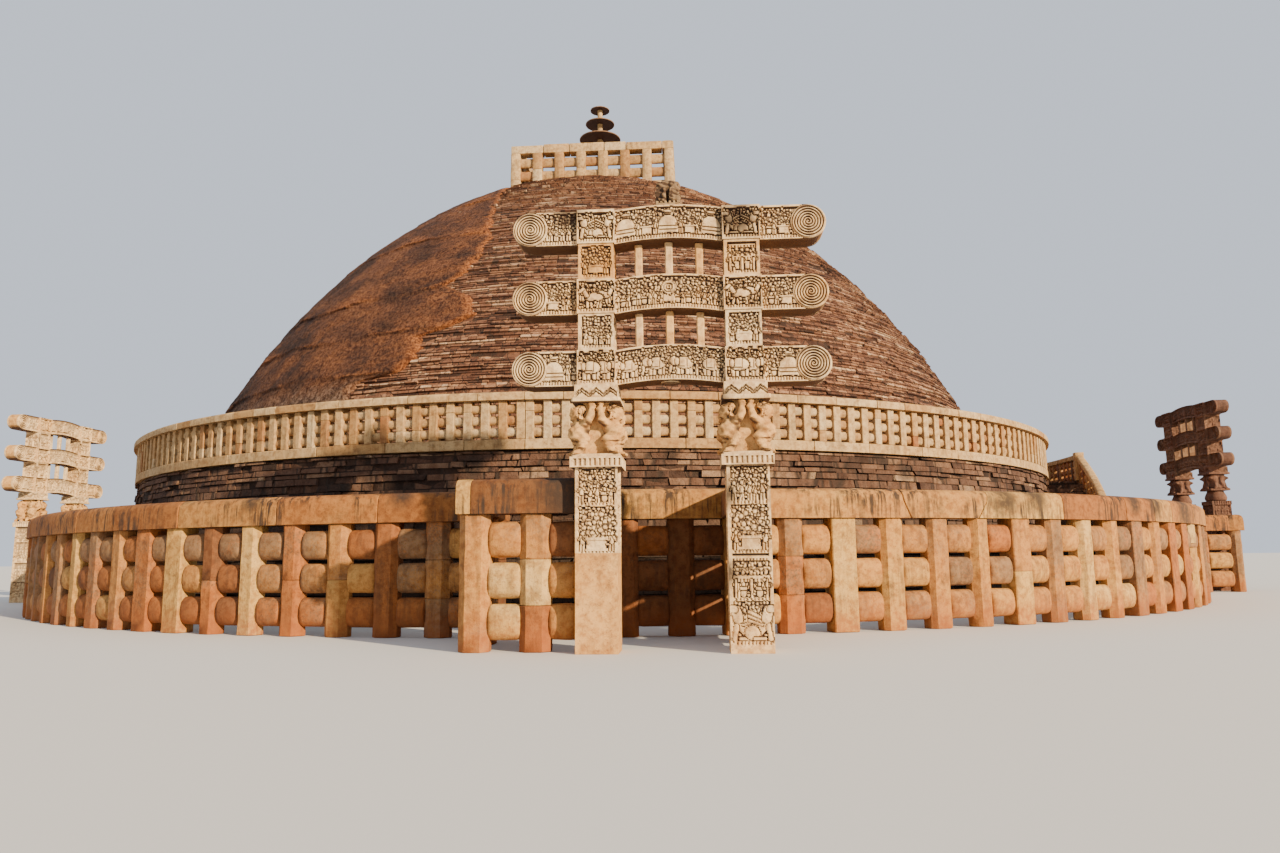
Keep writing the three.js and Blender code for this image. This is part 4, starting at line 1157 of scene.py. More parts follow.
class Relief:
    """A carved face: how high each point of its grid stands, from 0 in the ground to 1."""

    def __init__(self, x0, x1, z0, z1, cell, level=0.0):
        self.x = np.linspace(x0, x1, round((x1 - x0) / cell) + 1)
        self.z = np.linspace(z0, z1, round((z1 - z0) / cell) + 1)[:, None] + np.zeros(len(self.x))
        self.height = np.full(self.z.shape, level)
        self.cut = max(GROUND_LINE, 0.6 * cell)
        self.fine = cell <= FINE

    def near(self, x, reach):
        columns = slice(*np.searchsorted(self.x, (x - reach, x + reach)))
        return columns, self.x[columns] - x, self.z[:, columns]

    def rise(self, columns, share, size, high):
        """Raise what lies within share 1 of a shape's middle and cut a line round it."""
        part = self.height[:, columns]
        part[(share >= 1) & ((share - 1) * size < self.cut)] *= 0.3
        inside = share < 1
        part[inside] = high * (0.6 + 0.4 * np.sqrt(1 - share[inside] ** 2))

    def oval(self, x, z, wide, tall, high=0.9):
        columns, dx, rows = self.near(x, max(wide, tall) + 2 * self.cut)
        self.rise(columns, np.hypot(dx / wide, (rows - z) / tall), min(wide, tall), high)

    def limb(self, x0, z0, x1, z1, radius, high=0.9):
        middle, reach = (x0 + x1) / 2, abs(x1 - x0) / 2 + radius + 2 * self.cut
        columns, dx, rows = self.near(middle, reach)
        way = np.array([x1 - x0, z1 - z0])
        from_x, from_z = dx + middle - x0, rows - z0
        along = np.clip((from_x * way[0] + from_z * way[1]) / max(way @ way, 1e-9), 0, 1)
        distance = np.hypot(from_x - along * way[0], from_z - along * way[1])
        self.rise(columns, distance / radius, radius, high)

    def slab(self, x0, x1, z0, z1, high=1.0, pitch=0.0):
        """A flat band, or with a pitch a row of small upright bars."""
        columns, _, rows = self.near((x0 + x1) / 2, (x1 - x0) / 2 + 1e-6)
        if pitch:
            high = np.where((self.x[columns] / pitch) % 1 < 0.55, 0.95, 0.35)
        part = self.height[:, columns]
        part[:] = np.where((rows >= z0) & (rows <= z1), high, part)

    def teeth(self, x0, x1, z0, z1, pitch=0.05):
        self.slab(x0, x1, z0, z1, pitch=pitch)

    def crowd(self, x0, x1, z0, z1, dice, size):
        """People in rows: the back rows show only heads and shoulders."""
        rows = max(1, int((z1 - z0 - 0.7 * size) / (0.36 * size)) + 1)
        count = max(1, round((x1 - x0) / (0.34 * size)))
        step = (x1 - x0) / count
        for row in reversed(range(rows)):
            for k in range(count):
                x = x0 + step * (k + 0.5 + 0.2 * (row % 2)) + dice.uniform(-0.15, 0.15) * step
                if row:
                    z = z0 + (0.62 + 0.36 * (row - 1)) * size + dice.uniform(-0.04, 0.04) * size
                    if z + 0.3 * size < z1:
                        row_high = 0.9 * (1 - 0.06 * row)
                        Figure(self, min(x, x1 - 0.1 * size), z, size, row_high).bust(0.0, 0.0, 1.0, dice)
                elif k % 2 == 0 or dice.random() < 0.5:
                    person(self, x, z0, size * dice.uniform(0.85, 1.0), dice)
                else:
                    seated = Figure(self, x, z0, size, 0.9)
                    seated.oval(0.0, 0.2, 0.15, 0.2, 0.8)
                    seated.bust(0.0, 0.42, 0.9, dice)

    def fill(self, x0, x1, z0, z1, dice):
        """Small leaves and heads wherever the ground is still bare."""
        size = 0.021
        step_x, step_z = self.x[1] - self.x[0], self.z[1, 0] - self.z[0, 0]
        wide, tall = max(1, round(size / step_x)), max(1, round(size / step_z))
        for _ in range(round(1.5 * (x1 - x0) * (z1 - z0) / size ** 2)):
            x, z = dice.uniform(x0, x1), dice.uniform(z0, z1)
            column, row = round((x - self.x[0]) / step_x), round((z - self.z[0, 0]) / step_z)
            columns = slice(max(column - wide, 0), column + wide + 1)
            if self.height[max(row - tall, 0):row + tall + 1, columns].max() < 0.4:
                self.oval(x, z, *(size * dice.uniform(0.9, 1.3) for _ in range(2)), dice.uniform(0.6, 0.9))

    def foliage(self, x, z, wide, tall, dice, leaf=0.026, high=0.8):
        for _ in range(round(2.2 * wide * tall / leaf ** 2)):
            turn, out = dice.uniform(0, 2 * math.pi), math.sqrt(dice.random())
            leaf_x, leaf_z = x + wide * out * math.cos(turn), z + tall * out * math.sin(turn)
            sizes = (leaf * dice.uniform(0.6, 1.0) for _ in range(2))
            self.oval(leaf_x, leaf_z, *sizes, high * dice.uniform(0.7, 1.1))


class Figure:
    """One figure of a relief, drawn in shares of its size from its foot, facing left (-1) or right (1)."""

    def __init__(self, relief, x, z, size, high=0.9, face=1):
        self.relief, self.x, self.z, self.size, self.high, self.face = relief, x, z, size, high, face

    def place(self, x, z):
        return self.x + self.face * x * self.size, self.z + z * self.size

    def limb(self, x0, z0, x1, z1, radius, share=1.0):
        self.relief.limb(*self.place(x0, z0), *self.place(x1, z1), radius * self.size, self.high * share)

    def oval(self, x, z, wide, tall, share=1.0):
        self.relief.oval(*self.place(x, z), wide * self.size, tall * self.size, self.high * share)

    def slab(self, half, z0, z1, high, x=0.0):
        """A flat band to both sides of x, which isn't mirrored."""
        left, right = self.x + (x - half) * self.size, self.x + (x + half) * self.size
        self.relief.slab(left, right, self.z + z0 * self.size, self.z + z1 * self.size, high)

    def foliage(self, z, wide, tall, dice, leaf, high=0.8):
        sizes = (wide * self.size, tall * self.size, dice, leaf * self.size, high)
        self.relief.foliage(self.x, self.z + z * self.size, *sizes)

    def head(self, x, z, radius, dice, share=1.0):
        aside = self.face * dice.uniform(-0.5, 0.5)
        self.oval(x + aside * radius, z + 0.9 * radius, 1.1 * radius, 0.7 * radius, 0.9 * share)
        self.oval(x, z, 0.9 * radius, 1.1 * radius, share)

    def bust(self, x, z, size, dice, share=1.0):
        self.limb(x - 0.1 * size, z, x + 0.1 * size, z, 0.1 * size, 0.9 * share)
        self.head(x, z + 0.22 * size, 0.1 * size, dice, share)


def person(relief, x, z, size, dice):
    body = Figure(relief, x, z, size)
    lean = dice.uniform(-0.06, 0.06)
    for side in (-1, 1):
        body.limb(side * 0.06, 0.42, side * 0.08, 0.0, 0.055)
    body.limb(0.0, 0.45, lean, 0.7, 0.11)
    for side in (-1, 1):
        elbow = (lean + side * 0.2, dice.uniform(0.48, 0.62))
        body.limb(lean + side * 0.12, 0.72, *elbow, 0.045)
        body.limb(*elbow, side * dice.uniform(0.02, 0.2), dice.uniform(0.55, 0.85), 0.04)
    body.head(lean, 0.88, 0.095, dice)


def tree(relief, x, z, size, dice):
    body = Figure(relief, x, z, size, 0.8)
    body.limb(0.0, 0.0, 0.03, 0.6, 0.05)
    body.foliage(0.72, 0.3, 0.27, dice, 0.07)


def throne(relief, x, z, size, dice):
    """A seat under a tree."""
    body = Figure(relief, x, z, size)
    body.foliage(0.66, 0.34, 0.3, dice, 0.065, 0.75)
    body.slab(0.27, 0.26, 0.33, 0.95)
    body.slab(0.2, 0.06, 0.26, 0.7)
    body.slab(0.27, 0.0, 0.06, 0.95)


def shrine(relief, x, z, size):
    """A small domed stupa with its railing and umbrella."""
    body = Figure(relief, x, z, size, 1.0)
    body.oval(0.0, 0.42, 0.4, 0.4)
    body.slab(0.408, 0.0, 0.42, 0.94)
    for level in (0.14, 0.3):
        body.slab(0.408, level, level + 0.04, 0.5)
    body.slab(0.14, 0.84, 0.94, 0.9)
    body.oval(0.0, 1.0, 0.24, 0.06, 0.95)


def wheel(relief, x, z, radius):
    relief.oval(x, z, radius * 1.12, radius * 1.12, 1.0)
    columns, dx, rows = relief.near(x, radius)
    out = np.hypot(dx, rows - z) / radius
    part = relief.height[:, columns]
    ends, levels = (0.2, 0.34, 0.62, 0.76, 1.0), (0.4, 1.0, 0.35, 0.95, 0.5)
    part[:] = np.select([out < end for end in ends], levels, part)


def elephant(relief, x, z, size, face, dice, high=0.92):
    body = Figure(relief, x, z, size, high, face)
    body.bust(-0.02, 0.92, 0.55, dice)
    body.bust(-0.3, 0.86, 0.5, dice)
    for leg in (-0.34, -0.16, 0.12, 0.3):
        body.limb(leg, 0.4, leg, 0.04, 0.085, 0.9)
    body.oval(0.0, 0.56, 0.45, 0.3)
    for edge in (-0.28, 0.12):
        body.slab(0.03, 0.36, 0.8, 0.5, edge)
    body.slab(0.18, 0.34, 0.4, 0.5, -0.08)
    body.limb(0.62, 0.55, 0.7, 0.1, 0.075)
    body.oval(0.5, 0.66, 0.21, 0.22)
    body.oval(0.34, 0.62, 0.11, 0.19, 0.95)


def horse(relief, x, z, size, face, dice, high=0.92):
    body = Figure(relief, x, z, size, high, face)
    body.bust(0.0, 0.72, 0.62, dice)
    for leg in (-0.36, -0.22, 0.16, 0.3):
        body.limb(leg, 0.42, leg + dice.uniform(-0.05, 0.08), 0.03, 0.055, 0.9)
    body.oval(0.0, 0.5, 0.42, 0.2)
    body.limb(0.34, 0.58, 0.5, 0.9, 0.1)
    body.limb(0.5, 0.92, 0.68, 0.76, 0.075)


def beast(relief, x, z, size, face, dice):
    """A seated winged beast with its head raised."""
    body = Figure(relief, x, z, size, 0.95, face)
    body.bust(-0.22, 0.82, 0.5, dice, 0.8)
    body.limb(-0.22, 0.22, 0.1, 0.55, 0.2)
    body.oval(-0.26, 0.22, 0.22, 0.2)
    body.limb(-0.2, 0.05, 0.1, 0.05, 0.05)
    body.limb(0.18, 0.5, 0.26, 0.04, 0.07)
    for k in range(3):
        body.limb(0.02, 0.45 + 0.09 * k, -0.34, 0.56 + 0.12 * k, 0.045, 0.95)
    body.limb(0.15, 0.62, 0.22, 0.85, 0.14)
    body.oval(0.3, 0.88, 0.14, 0.11)


def carved(relief, depth, back, raised_edge=True, lift=None, mitre=False):
    """A closed slab with the relief on its front: its face at y = 0, its ground at y = depth."""
    x = np.broadcast_to(relief.x, relief.z.shape)
    z = relief.z + (lift(relief.x) if lift else 0.0)
    front = np.stack([x, depth * (1 - relief.height), z], axis=2).reshape(-1, 3)
    faces, rim = sheet(*relief.z.shape)
    if raised_edge:
        front[rim, 1] = 0.0
    behind = front[rim].copy()
    behind[:, 1] = back
    if mitre:
        behind[:, 0] *= 1 - back / abs(relief.x[0])
    closing = len(front) + np.arange(len(rim))
    # the level paints shade in the hollows; coarse faces get paler hollows
    pale = 0.0 if relief.fine else 0.3
    level = pale + (1 - pale) * np.append(relief.height, np.ones(len(rim)))
    return (np.concatenate([front, behind]), [*faces, closing.tolist()]), level


def spiral(radius, turns, depth, back, fine):
    """A round slab whose face is cut with a spiral, like the end of a scroll."""
    sectors, per_turn = (60, 6) if fine else (32, 3)
    scroll = radius * 0.92
    turn = full_turn(sectors)
    points, level = [np.zeros((1, 3))], [np.ones(1)]

    def add_ring(out, y, shade):
        points.append(np.stack(np.broadcast_arrays(out * np.cos(turn), y, out * np.sin(turn)), axis=1))
        level.append(shade)

    for out in np.linspace(0.0, scroll, turns * per_turn + 1)[1:]:
        phase = (out / scroll * turns - turn / (2 * math.pi)) % 1
        cut = np.clip(1.7 - np.abs(phase - 0.5) / 0.2, 0, 1)
        # the grooves get a low level, which paints shade in them
        add_ring(out, depth * cut, 1 - cut)
    for out, y in ((radius * 0.96, 0.0), (radius, 0.4 * depth), (radius, back)):
        add_ring(out, y, np.ones(sectors))
    faces = [[0, 1 + k, 1 + (k + 1) % sectors] for k in range(sectors)]
    last = 1 + (len(points) - 2) * sectors
    for low in range(1, last, sectors):
        high = low + sectors
        for k in range(sectors):
            following = (k + 1) % sectors
            faces.append([low + k, high + k, high + following, low + following])
    faces.append([last + k for k in range(sectors)])
    return (np.concatenate(points), faces), np.concatenate(level)


def scene_in(relief, kind, x0, x1, z0, z1, dice):
    """Fills a rectangle of a relief with one kind of scene."""
    middle, wide, tall = (x0 + x1) / 2, x1 - x0, z1 - z0
    size = min(0.34, 0.62 * tall)
    crowd_from = {"elephants": None, "beasts": 0.35, "horses": 0.3, "pair": 0.5}.get(kind, 0.0)
    if crowd_from is not None:
        relief.crowd(x0, x1, z0 + crowd_from * tall, z1, dice, size * (0.9 if kind == "pair" else 1.0))
    if kind == "shrine":
        relief.foliage(middle, z0 + 0.82 * tall, 0.3 * wide, 0.14 * tall, dice)
        shrine(relief, middle, z0, 0.86 * tall)
    elif kind == "throne":
        throne(relief, middle, z0, 0.95 * tall, dice)
    elif kind == "wheel":
        wheel(relief, middle, z0 + 0.6 * tall, 0.24 * tall)
        relief.slab(middle - 0.22 * tall, middle + 0.22 * tall, z0 + 0.02, z0 + 0.26 * tall, 0.9)
    elif kind == "elephants":
        relief.foliage(middle, z0 + 0.84 * tall, 0.48 * wide, 0.14 * tall, dice)
        count = max(1, round(wide / (1.25 * 0.72 * tall)))
        for k in range(count):
            x = x0 + wide * (k + 0.5) / count
            elephant(relief, x, z0, 0.74 * tall, 1 if k == count - 1 and count > 2 else -1, dice)
            tree(relief, x + 0.45 * wide / count, z0, 0.9 * tall, dice)
    elif kind == "beasts":
        for face in (-1, 1):
            beast(relief, middle + face * 0.24 * wide, z0, 0.9 * tall, face, dice)
    elif kind == "horses":
        horse(relief, middle + 0.2 * wide, z0 + 0.06, 0.72 * tall, 1, dice, 0.85)
        horse(relief, middle - 0.06 * wide, z0, 0.8 * tall, -1, dice)
    elif kind == "pair":
        elephant(relief, middle + 0.16 * wide, z0, 0.78 * tall, 1, dice, 0.85)
        elephant(relief, middle - 0.16 * wide, z0, 0.78 * tall, -1, dice)
    elif kind == "house":
        for level in (0.46, 0.93):
            relief.slab(x0, x1, z0 + (level - 0.04) * tall, z0 + (level + 0.03) * tall, 0.95)
            relief.teeth(x0, x1, z0 + (level - 0.1) * tall, z0 + (level - 0.04) * tall, 0.055)
        for column in (0.08, 0.5, 0.92):
            x = x0 + wide * column
            relief.limb(x, z0, x, z0 + 0.4 * tall, 0.02, 0.95)
    if relief.fine:
        relief.fill(x0, x1, z0, z1, dice)


def border(relief, x0, x1, z0, z1, side, foot, head):
    """A plain frame with a toothed band over its foot."""
    relief.slab(x0, x1, z1 - head, z1)
    relief.slab(x0, x1, z0, z0 + foot * 0.4)
    relief.teeth(x0, x1, z0 + foot * 0.4, z0 + foot * 0.9)
    relief.slab(x0, x0 + side, z0, z1)
    relief.slab(x1 - side, x1, z0, z1)


BEAM_SCENES = {
    "upper": ("crowd", ("shrine", "throne", "shrine", "throne", "shrine"), "throne", "beasts"),
    "middle": ("throne", ("crowd", "crowd", "wheel", "crowd", "crowd"), "throne", "horses"),
    "lower": ("shrine", ("elephants",), "shrine", "pair"),
}
PILLAR_PANELS = ((0.2, 0.84, "beasts"), (0.9, 1.61, "house"), (1.68, 2.42, "throne"), (2.5, 3.06, "crowd"))
PLAIN_BELOW = 1.65  # the left pillar's foot is plain, newer stone
BACKING = 0.08  # thickness of a carved slab


def arch_lift(x):
    share = np.minimum(np.abs(x) / BEAM["arch_half"], 1.0)
    return BEAM["arch_rise"] * (1 - share * share)


def beam_panel(x0, x1, tall, kinds, cell, dice):
    """A stretch of a beam's face with its borders and one scene for each kind."""
    relief = Relief(x0, x1, 0.0, tall, cell)
    relief.slab(x0, x1, tall - 0.035, tall)
    relief.slab(x0, x1, 0.0, 0.03)
    relief.teeth(x0, x1, 0.03, 0.085)
    step = (x1 - x0) / len(kinds)
    for k, kind in enumerate(kinds):
        scene_in(relief, kind, x0 + step * k, x0 + step * (k + 1), 0.1, tall - 0.045, dice)
    return relief


def beam_face(stones, spot, form, level, cell, dice, tone):
    """The carved front of a beam, with its two dies and its scroll ends."""
    left, middle, right, die = BEAM_SCENES[level]
    half, roll, tall = BEAM["die"] / 2, form["roll"], form["height"]
    beyond, within = PILLAR["x"] + half, PILLAR["x"] - half
    for x0, x1, kinds in ((-roll, -beyond, (left,)), (-within, within, middle), (beyond, roll, (right,))):
        relief = beam_panel(x0, x1, tall, kinds, cell, dice)
        for end in (-roll, roll):
            relief.height[np.hypot(relief.x - end, relief.z - tall / 2) < tall / 2] = 0.0
        slab, raised = carved(relief, CUT, BACKING, x0 == -within, arch_lift)
        stones.add(slab, tone, spot, raised)
    for x in (-PILLAR["x"], PILLAR["x"]):
        relief = Relief(-half, half, 0.0, tall, cell)
        border(relief, -half, half, 0.0, tall, 0.02, 0.1, 0.05)
        scene_in(relief, die, -half + 0.03, half - 0.03, 0.1, tall - 0.05, dice)
        slab, raised = carved(relief, CUT * 1.4, 0.13)
        stones.add(slab, tone + dice.uniform(-0.05, 0.05), spot.at(x, -0.08), raised)
    fine = cell <= FINE
    for x in (-roll, roll):
        (points, faces), raised = spiral(tall / 2, 6 if fine else 4, 0.035, BACKING, fine)
        stones.add((points + (0.0, 0.0, tall / 2), faces), tone, spot.at(x, 0.0), raised)


def beam_core(form):
    """The plain body of a beam between its carved faces."""
    roll, half = form["roll"], form["height"] / 2
    along = np.linspace(-roll, roll, 60)
    turns = np.linspace(-math.pi / 2, math.pi / 2, 11)[1:-1]
    outline = [(x, float(arch_lift(x))) for x in along]
    outline += [(roll + half * math.cos(turn), half + half * math.sin(turn)) for turn in turns]
    outline += [(x, 2 * half + float(arch_lift(x))) for x in along[::-1]]
    outline += [(-roll - half * math.cos(turn), half - half * math.sin(turn)) for turn in turns]
    middle, reach = PILLAR["width"] / 2, BEAM["thick"] / 2 - BACKING
    return loft([np.array([(x, y, z) for x, z in outline]) for y in (middle - reach, middle + reach)])


def wrap(stones, spot, width, relief_for, base, tone):
    """A square block carved on its four sides, made of four mitred slabs."""
    for side in range(4):
        relief = relief_for(side)
        relief.z = relief.z + base
        slab, raised = carved(relief, CUT, BACKING, mitre=True)
        stones.add(slab, tone, spot.at(0, 0, 90 * side).at(0, -width / 2), raised)


def beam_blocks(stones, gate, level, crown, tall, cell, tone, dice):
    """The two carved blocks over a beam's pillars, which carry the next beam."""
    half = BLOCK_WIDTH / 2

    def block_face(side):
        relief = Relief(-half, half, 0.0, tall, cell if side == 0 else COARSE)
        border(relief, -half, half, 0.0, tall, 0.06, 0.1, 0.06)
        kind = dice.choice(("throne", "crowd", "house"))
        scene_in(relief, kind, -half + 0.07, half - 0.07, 0.1, tall - 0.07, dice)
        return relief

    for side in (-1, 1):
        dark = gate["name"] == "west" and level == "middle" and side < 0
        shade = 0.35 if dark else tone + dice.uniform(-0.12, 0.08)
        middle = gate_spot(gate).at(side * PILLAR["x"], PILLAR["width"] / 2)
        wrap(stones, middle, BLOCK_WIDTH, block_face, crown + 0.004, shade)


def beam_uprights(stones, gate, level, crown, above, dice):
    """The small posts between a beam and the next one."""
    half = UPRIGHT["width"] / 2
    deep = 0.2 if gate["name"] == "south" else half
    for index, x in enumerate(UPRIGHT["offsets"]):
        low = crown + float(arch_lift(abs(x) - half)) - 0.02
        high = above + float(arch_lift(abs(x) + half)) - 0.005
        shape = worn_block(half, deep, low, high, 0.02, dice, 3, 0.003)
        tone = UPRIGHT_TONES[level][index] if gate["name"] == "west" else 0.72
        stones.add(shape, tone, gate_spot(gate).at(x, PILLAR["width"] / 2))


LOTUS_BOSS = ((0.03, -0.03), (0.05, -0.02), (0.1, -0.02), (0.12, 0.0), (0.17, 0.03), (0.17, 0.0))


def build_beam(gate, level, cell, seed):
    dice = random.Random(seed)
    form, stones = gate["form"], Stones()
    base, middle = form["bases"][level], PILLAR["width"] / 2
    tone = dice.gauss(*TONES["beam"])
    face = gate_spot(gate)
    stones.add(beam_core(form), 0.34, face)
    beam_face(stones, face.at(0.0, middle - BEAM["thick"] / 2), form, level, cell, dice, tone)
    beam_face(stones, face.at(0.0, middle + BEAM["thick"] / 2, 180), form, level, COARSE, dice, tone)
    for points in stones.points:
        points[:, 2] += base
    if level != "upper":
        crown, above = base + form["height"], form["bases"]["middle" if level == "lower" else "upper"]
        beam_blocks(stones, gate, level, crown, above - crown, cell, tone, dice)
        beam_uprights(stones, gate, level, crown, above, dice)
    if level == "lower":
        under = base + BEAM["arch_rise"] - 0.03
        stones.add(lathe([(out, under + up * 0.8) for out, up in LOTUS_BOSS], 32), tone, face.at(0.0, middle))
    name = f"gateway_{gate['name']}_{level}_beam"
    stones.piece(f"{name}_carved", gate_stone(gate), [name], 35)


def gate_stone(gate):
    return weathered_stone if gate["name"] == "south" else gateway_stone


# Figures in the round, melted together out of rounded limbs

def capsule(start, end, start_radius, end_radius):
    start, end = np.array(start, float), np.array(end, float)
    way = (end - start) / np.linalg.norm(end - start)
    across = np.cross(way, (0.3, 0.9, 0.2))
    across /= np.linalg.norm(across)
    upward = np.cross(way, across)
    turns = full_turn(12)[:, None]
    ring = across * np.cos(turns) + upward * np.sin(turns)
    rings = []
    for centre, radius, tilts in ((start, start_radius, (-80, -45, -10)), (end, end_radius, (10, 45, 80))):
        for tilt in np.radians(tilts):
            rings.append(centre + way * radius * math.sin(tilt) + radius * math.cos(tilt) * ring)
    return loft(rings)


def melted(body, pairs, voxel):
    """The limbs of a body, and pairs of them on both sides of it, grown together into one closed
    skin, as points and faces."""
    limbs = Stones()
    for limb in body:
        limbs.add(capsule(*limb))
    for start, end, *radii in pairs:
        for side in (-1, 1):
            tips = ((x * side, y, z) for x, y, z in (start, end))
            limbs.add(capsule(*tips, *radii))
    mesh = limbs.mesh("limbs")
    helper = bpy.data.objects.new("limbs", mesh)
    bpy.context.scene.collection.objects.link(helper)
    remesh = helper.modifiers.new("melt", "REMESH")
    remesh.mode = "VOXEL"
    remesh.voxel_size = voxel * M
    smooth = helper.modifiers.new("smooth", "SMOOTH")
    smooth.factor = 0.5
    smooth.iterations = 2
    skin = helper.evaluated_get(bpy.context.evaluated_depsgraph_get()).to_mesh()
    points = np.empty(len(skin.vertices) * 3)
    skin.vertices.foreach_get("co", points)
    faces = [list(face.vertices) for face in skin.polygons]
    bpy.data.objects.remove(helper)
    bpy.data.meshes.remove(mesh)
    return points.reshape(-1, 3) / M, faces


FINE_VOXEL, COARSE_VOXEL, FINIAL_VOXEL = 0.027, 0.05, 0.018

# A pot-bellied dwarf bearing the weight above with raised arms, facing -y, one metre high
DWARF_BODY = (
    ((0, -0.08, 0.33), (0, -0.11, 0.42), 0.17, 0.19), ((0, -0.03, 0.52), (0, -0.04, 0.6), 0.17, 0.15),
    ((0, -0.13, 0.74), (0, -0.13, 0.81), 0.12, 0.125), ((0, -0.06, 0.87), (0, -0.04, 0.91), 0.125, 0.09),
    ((0, -0.245, 0.78), (0, -0.265, 0.74), 0.018, 0.03), ((0, -0.17, 0.26), (0, -0.14, 0.1), 0.06, 0.045),
    ((-0.15, -0.1, 0.27), (0.15, -0.1, 0.27), 0.04, 0.04), ((0, -0.23, 0.69), (0, -0.24, 0.685), 0.04, 0.035),
)
DWARF_PAIRS = (
    ((0.11, -0.02, 0.3), (0.15, -0.09, 0.09), 0.11, 0.075),
    ((0.14, -0.08, 0.045), (0.16, -0.21, 0.035), 0.055, 0.045),
    ((0.15, 0.0, 0.6), (0.23, 0.04, 0.64), 0.085, 0.075),
    ((0.23, 0.04, 0.65), (0.16, 0.11, 0.9), 0.075, 0.055),
    ((0.16, 0.11, 0.94), (0.14, 0.07, 0.97), 0.06, 0.05), ((0.13, -0.1, 0.79), (0.14, -0.1, 0.7), 0.03, 0.04),
    ((0.05, -0.238, 0.8), (0.056, -0.235, 0.8), 0.022, 0.02),
    ((0.08, -0.14, 0.6), (0.0, -0.18, 0.56), 0.025, 0.025),
)

# A seated lion facing -y, one metre high, its back against the lions beside it
LION_BODY = (
    ((0, 0.12, 0.25), (0, -0.04, 0.55), 0.24, 0.2), ((0, -0.1, 0.66), (0, -0.1, 0.76), 0.22, 0.2),
    ((0, -0.26, 0.72), (0, -0.34, 0.69), 0.11, 0.09), ((0, 0.2, 0.1), (0, 0.25, 0.9), 0.18, 0.16),
)
LION_PAIRS = (
    ((0.12, -0.14, 0.5), (0.13, -0.26, 0.06), 0.09, 0.06),
    ((0.13, -0.26, 0.05), (0.13, -0.36, 0.04), 0.055, 0.045),
    ((0.17, 0.04, 0.22), (0.2, -0.08, 0.08), 0.15, 0.09),
    ((0.12, -0.08, 0.92), (0.13, -0.09, 0.96), 0.05, 0.03),
)

# Two lumps side by side, all that is left of a seated animal on the west gateway
BEAST_PAIRS = (
    ((0.1, 0.05, 0.1), (0.09, 0.01, 0.25), 0.125, 0.115),
    ((0.14, -0.05, 0.32), (0.05, -0.02, 0.35), 0.08, 0.085),
    ((0.07, -0.13, 0.24), (0.07, -0.16, 0.04), 0.045, 0.05),
    ((0.17, -0.1, 0.22), (0.17, -0.14, 0.04), 0.04, 0.05),
)


def pillar_face(gate, name, side, cell, low):
    """The carved panels of one side of a pillar, from a height up."""
    dice = random.Random(f"{gate['name']} {name} {side}")
    half, shaft = PILLAR["width"] / 2, gate["form"]["shaft"]
    stretch = shaft / GATE_FORM["shaft"]
    relief = Relief(-half, half, low, shaft, cell, 1.0)
    for foot, head, kind in PILLAR_PANELS:
        foot, head = foot * stretch, head * stretch
        if low < foot and head < shaft:
            relief.slab(-half + 0.05, half - 0.05, foot, head, 0.0)
            if side % 2:
                kind = dice.choice(("crowd", "house", "throne", "shrine"))
            scene_in(relief, kind, -half + 0.06, half - 0.06, foot, head, dice)
            relief.teeth(-half + 0.05, half - 0.05, foot - 0.055, foot - 0.012, 0.06)
    return relief


def build_pillar(gate, name, x, cell, figures, seed):
    dice = random.Random(seed)
    form, width = gate["form"], PILLAR["width"]
    stones = Stones()
    middle = gate_spot(gate).at(x, width / 2)
    tone = dice.gauss(*TONES["pillar"])
    low = 0.0
    if gate["name"] == "west" and name == "left":
        low = PLAIN_BELOW
        plain = (-width / 2, width / 2, 0.0, low, 0.12, 1.0)
        wrap(stones, middle, width, lambda side: Relief(*plain), 0.0, 0.33)

    def cell_at(side):
        return cell if side == 0 else COARSE

    def abacus_face(side):
        half = form["abacus_width"] / 2
        relief = Relief(-half, half, 0.0, form["abacus"] - form["shaft"], cell_at(side), 1.0)
        relief.teeth(0.03 - half, half - 0.03, 0.03, 0.14, 0.085)
        return relief

    def leaf_face(side):
        half = IMPOST_WIDTH / 2
        relief = Relief(-half, half, 0.0, form["impost"] - form["capital"], cell_at(side), 1.0)
        across = np.abs((relief.x / 0.25) % 1 - 0.5) * 2
        for up in (0.03, 0.08):
            relief.height[np.abs(relief.z - up - 0.1 * across) < 0.016] = 0.2
        return relief

    wrap(stones, middle, width, lambda side: pillar_face(gate, name, side, cell_at(side), low), 0.0, tone)
    wrap(stones, middle, form["abacus_width"], abacus_face, form["shaft"], tone)
    wrap(stones, middle, IMPOST_WIDTH, leaf_face, form["capital"], tone + 0.05)
    lid = worn_block(0.42, 0.42, form["capital"] - 0.06, form["capital"] + 0.02, 0.03, dice, 1)
    stones.add(lid, tone, middle)
    capital = lion_capital if gate["name"] == "south" else dwarf_capital
    capital(stones, middle, gate, figures, tone, dice)
    node = f"gateway_{gate['name']}_{name}_pillar"
    stones.piece(f"{node}_carved", gate_stone(gate), [node], 35)


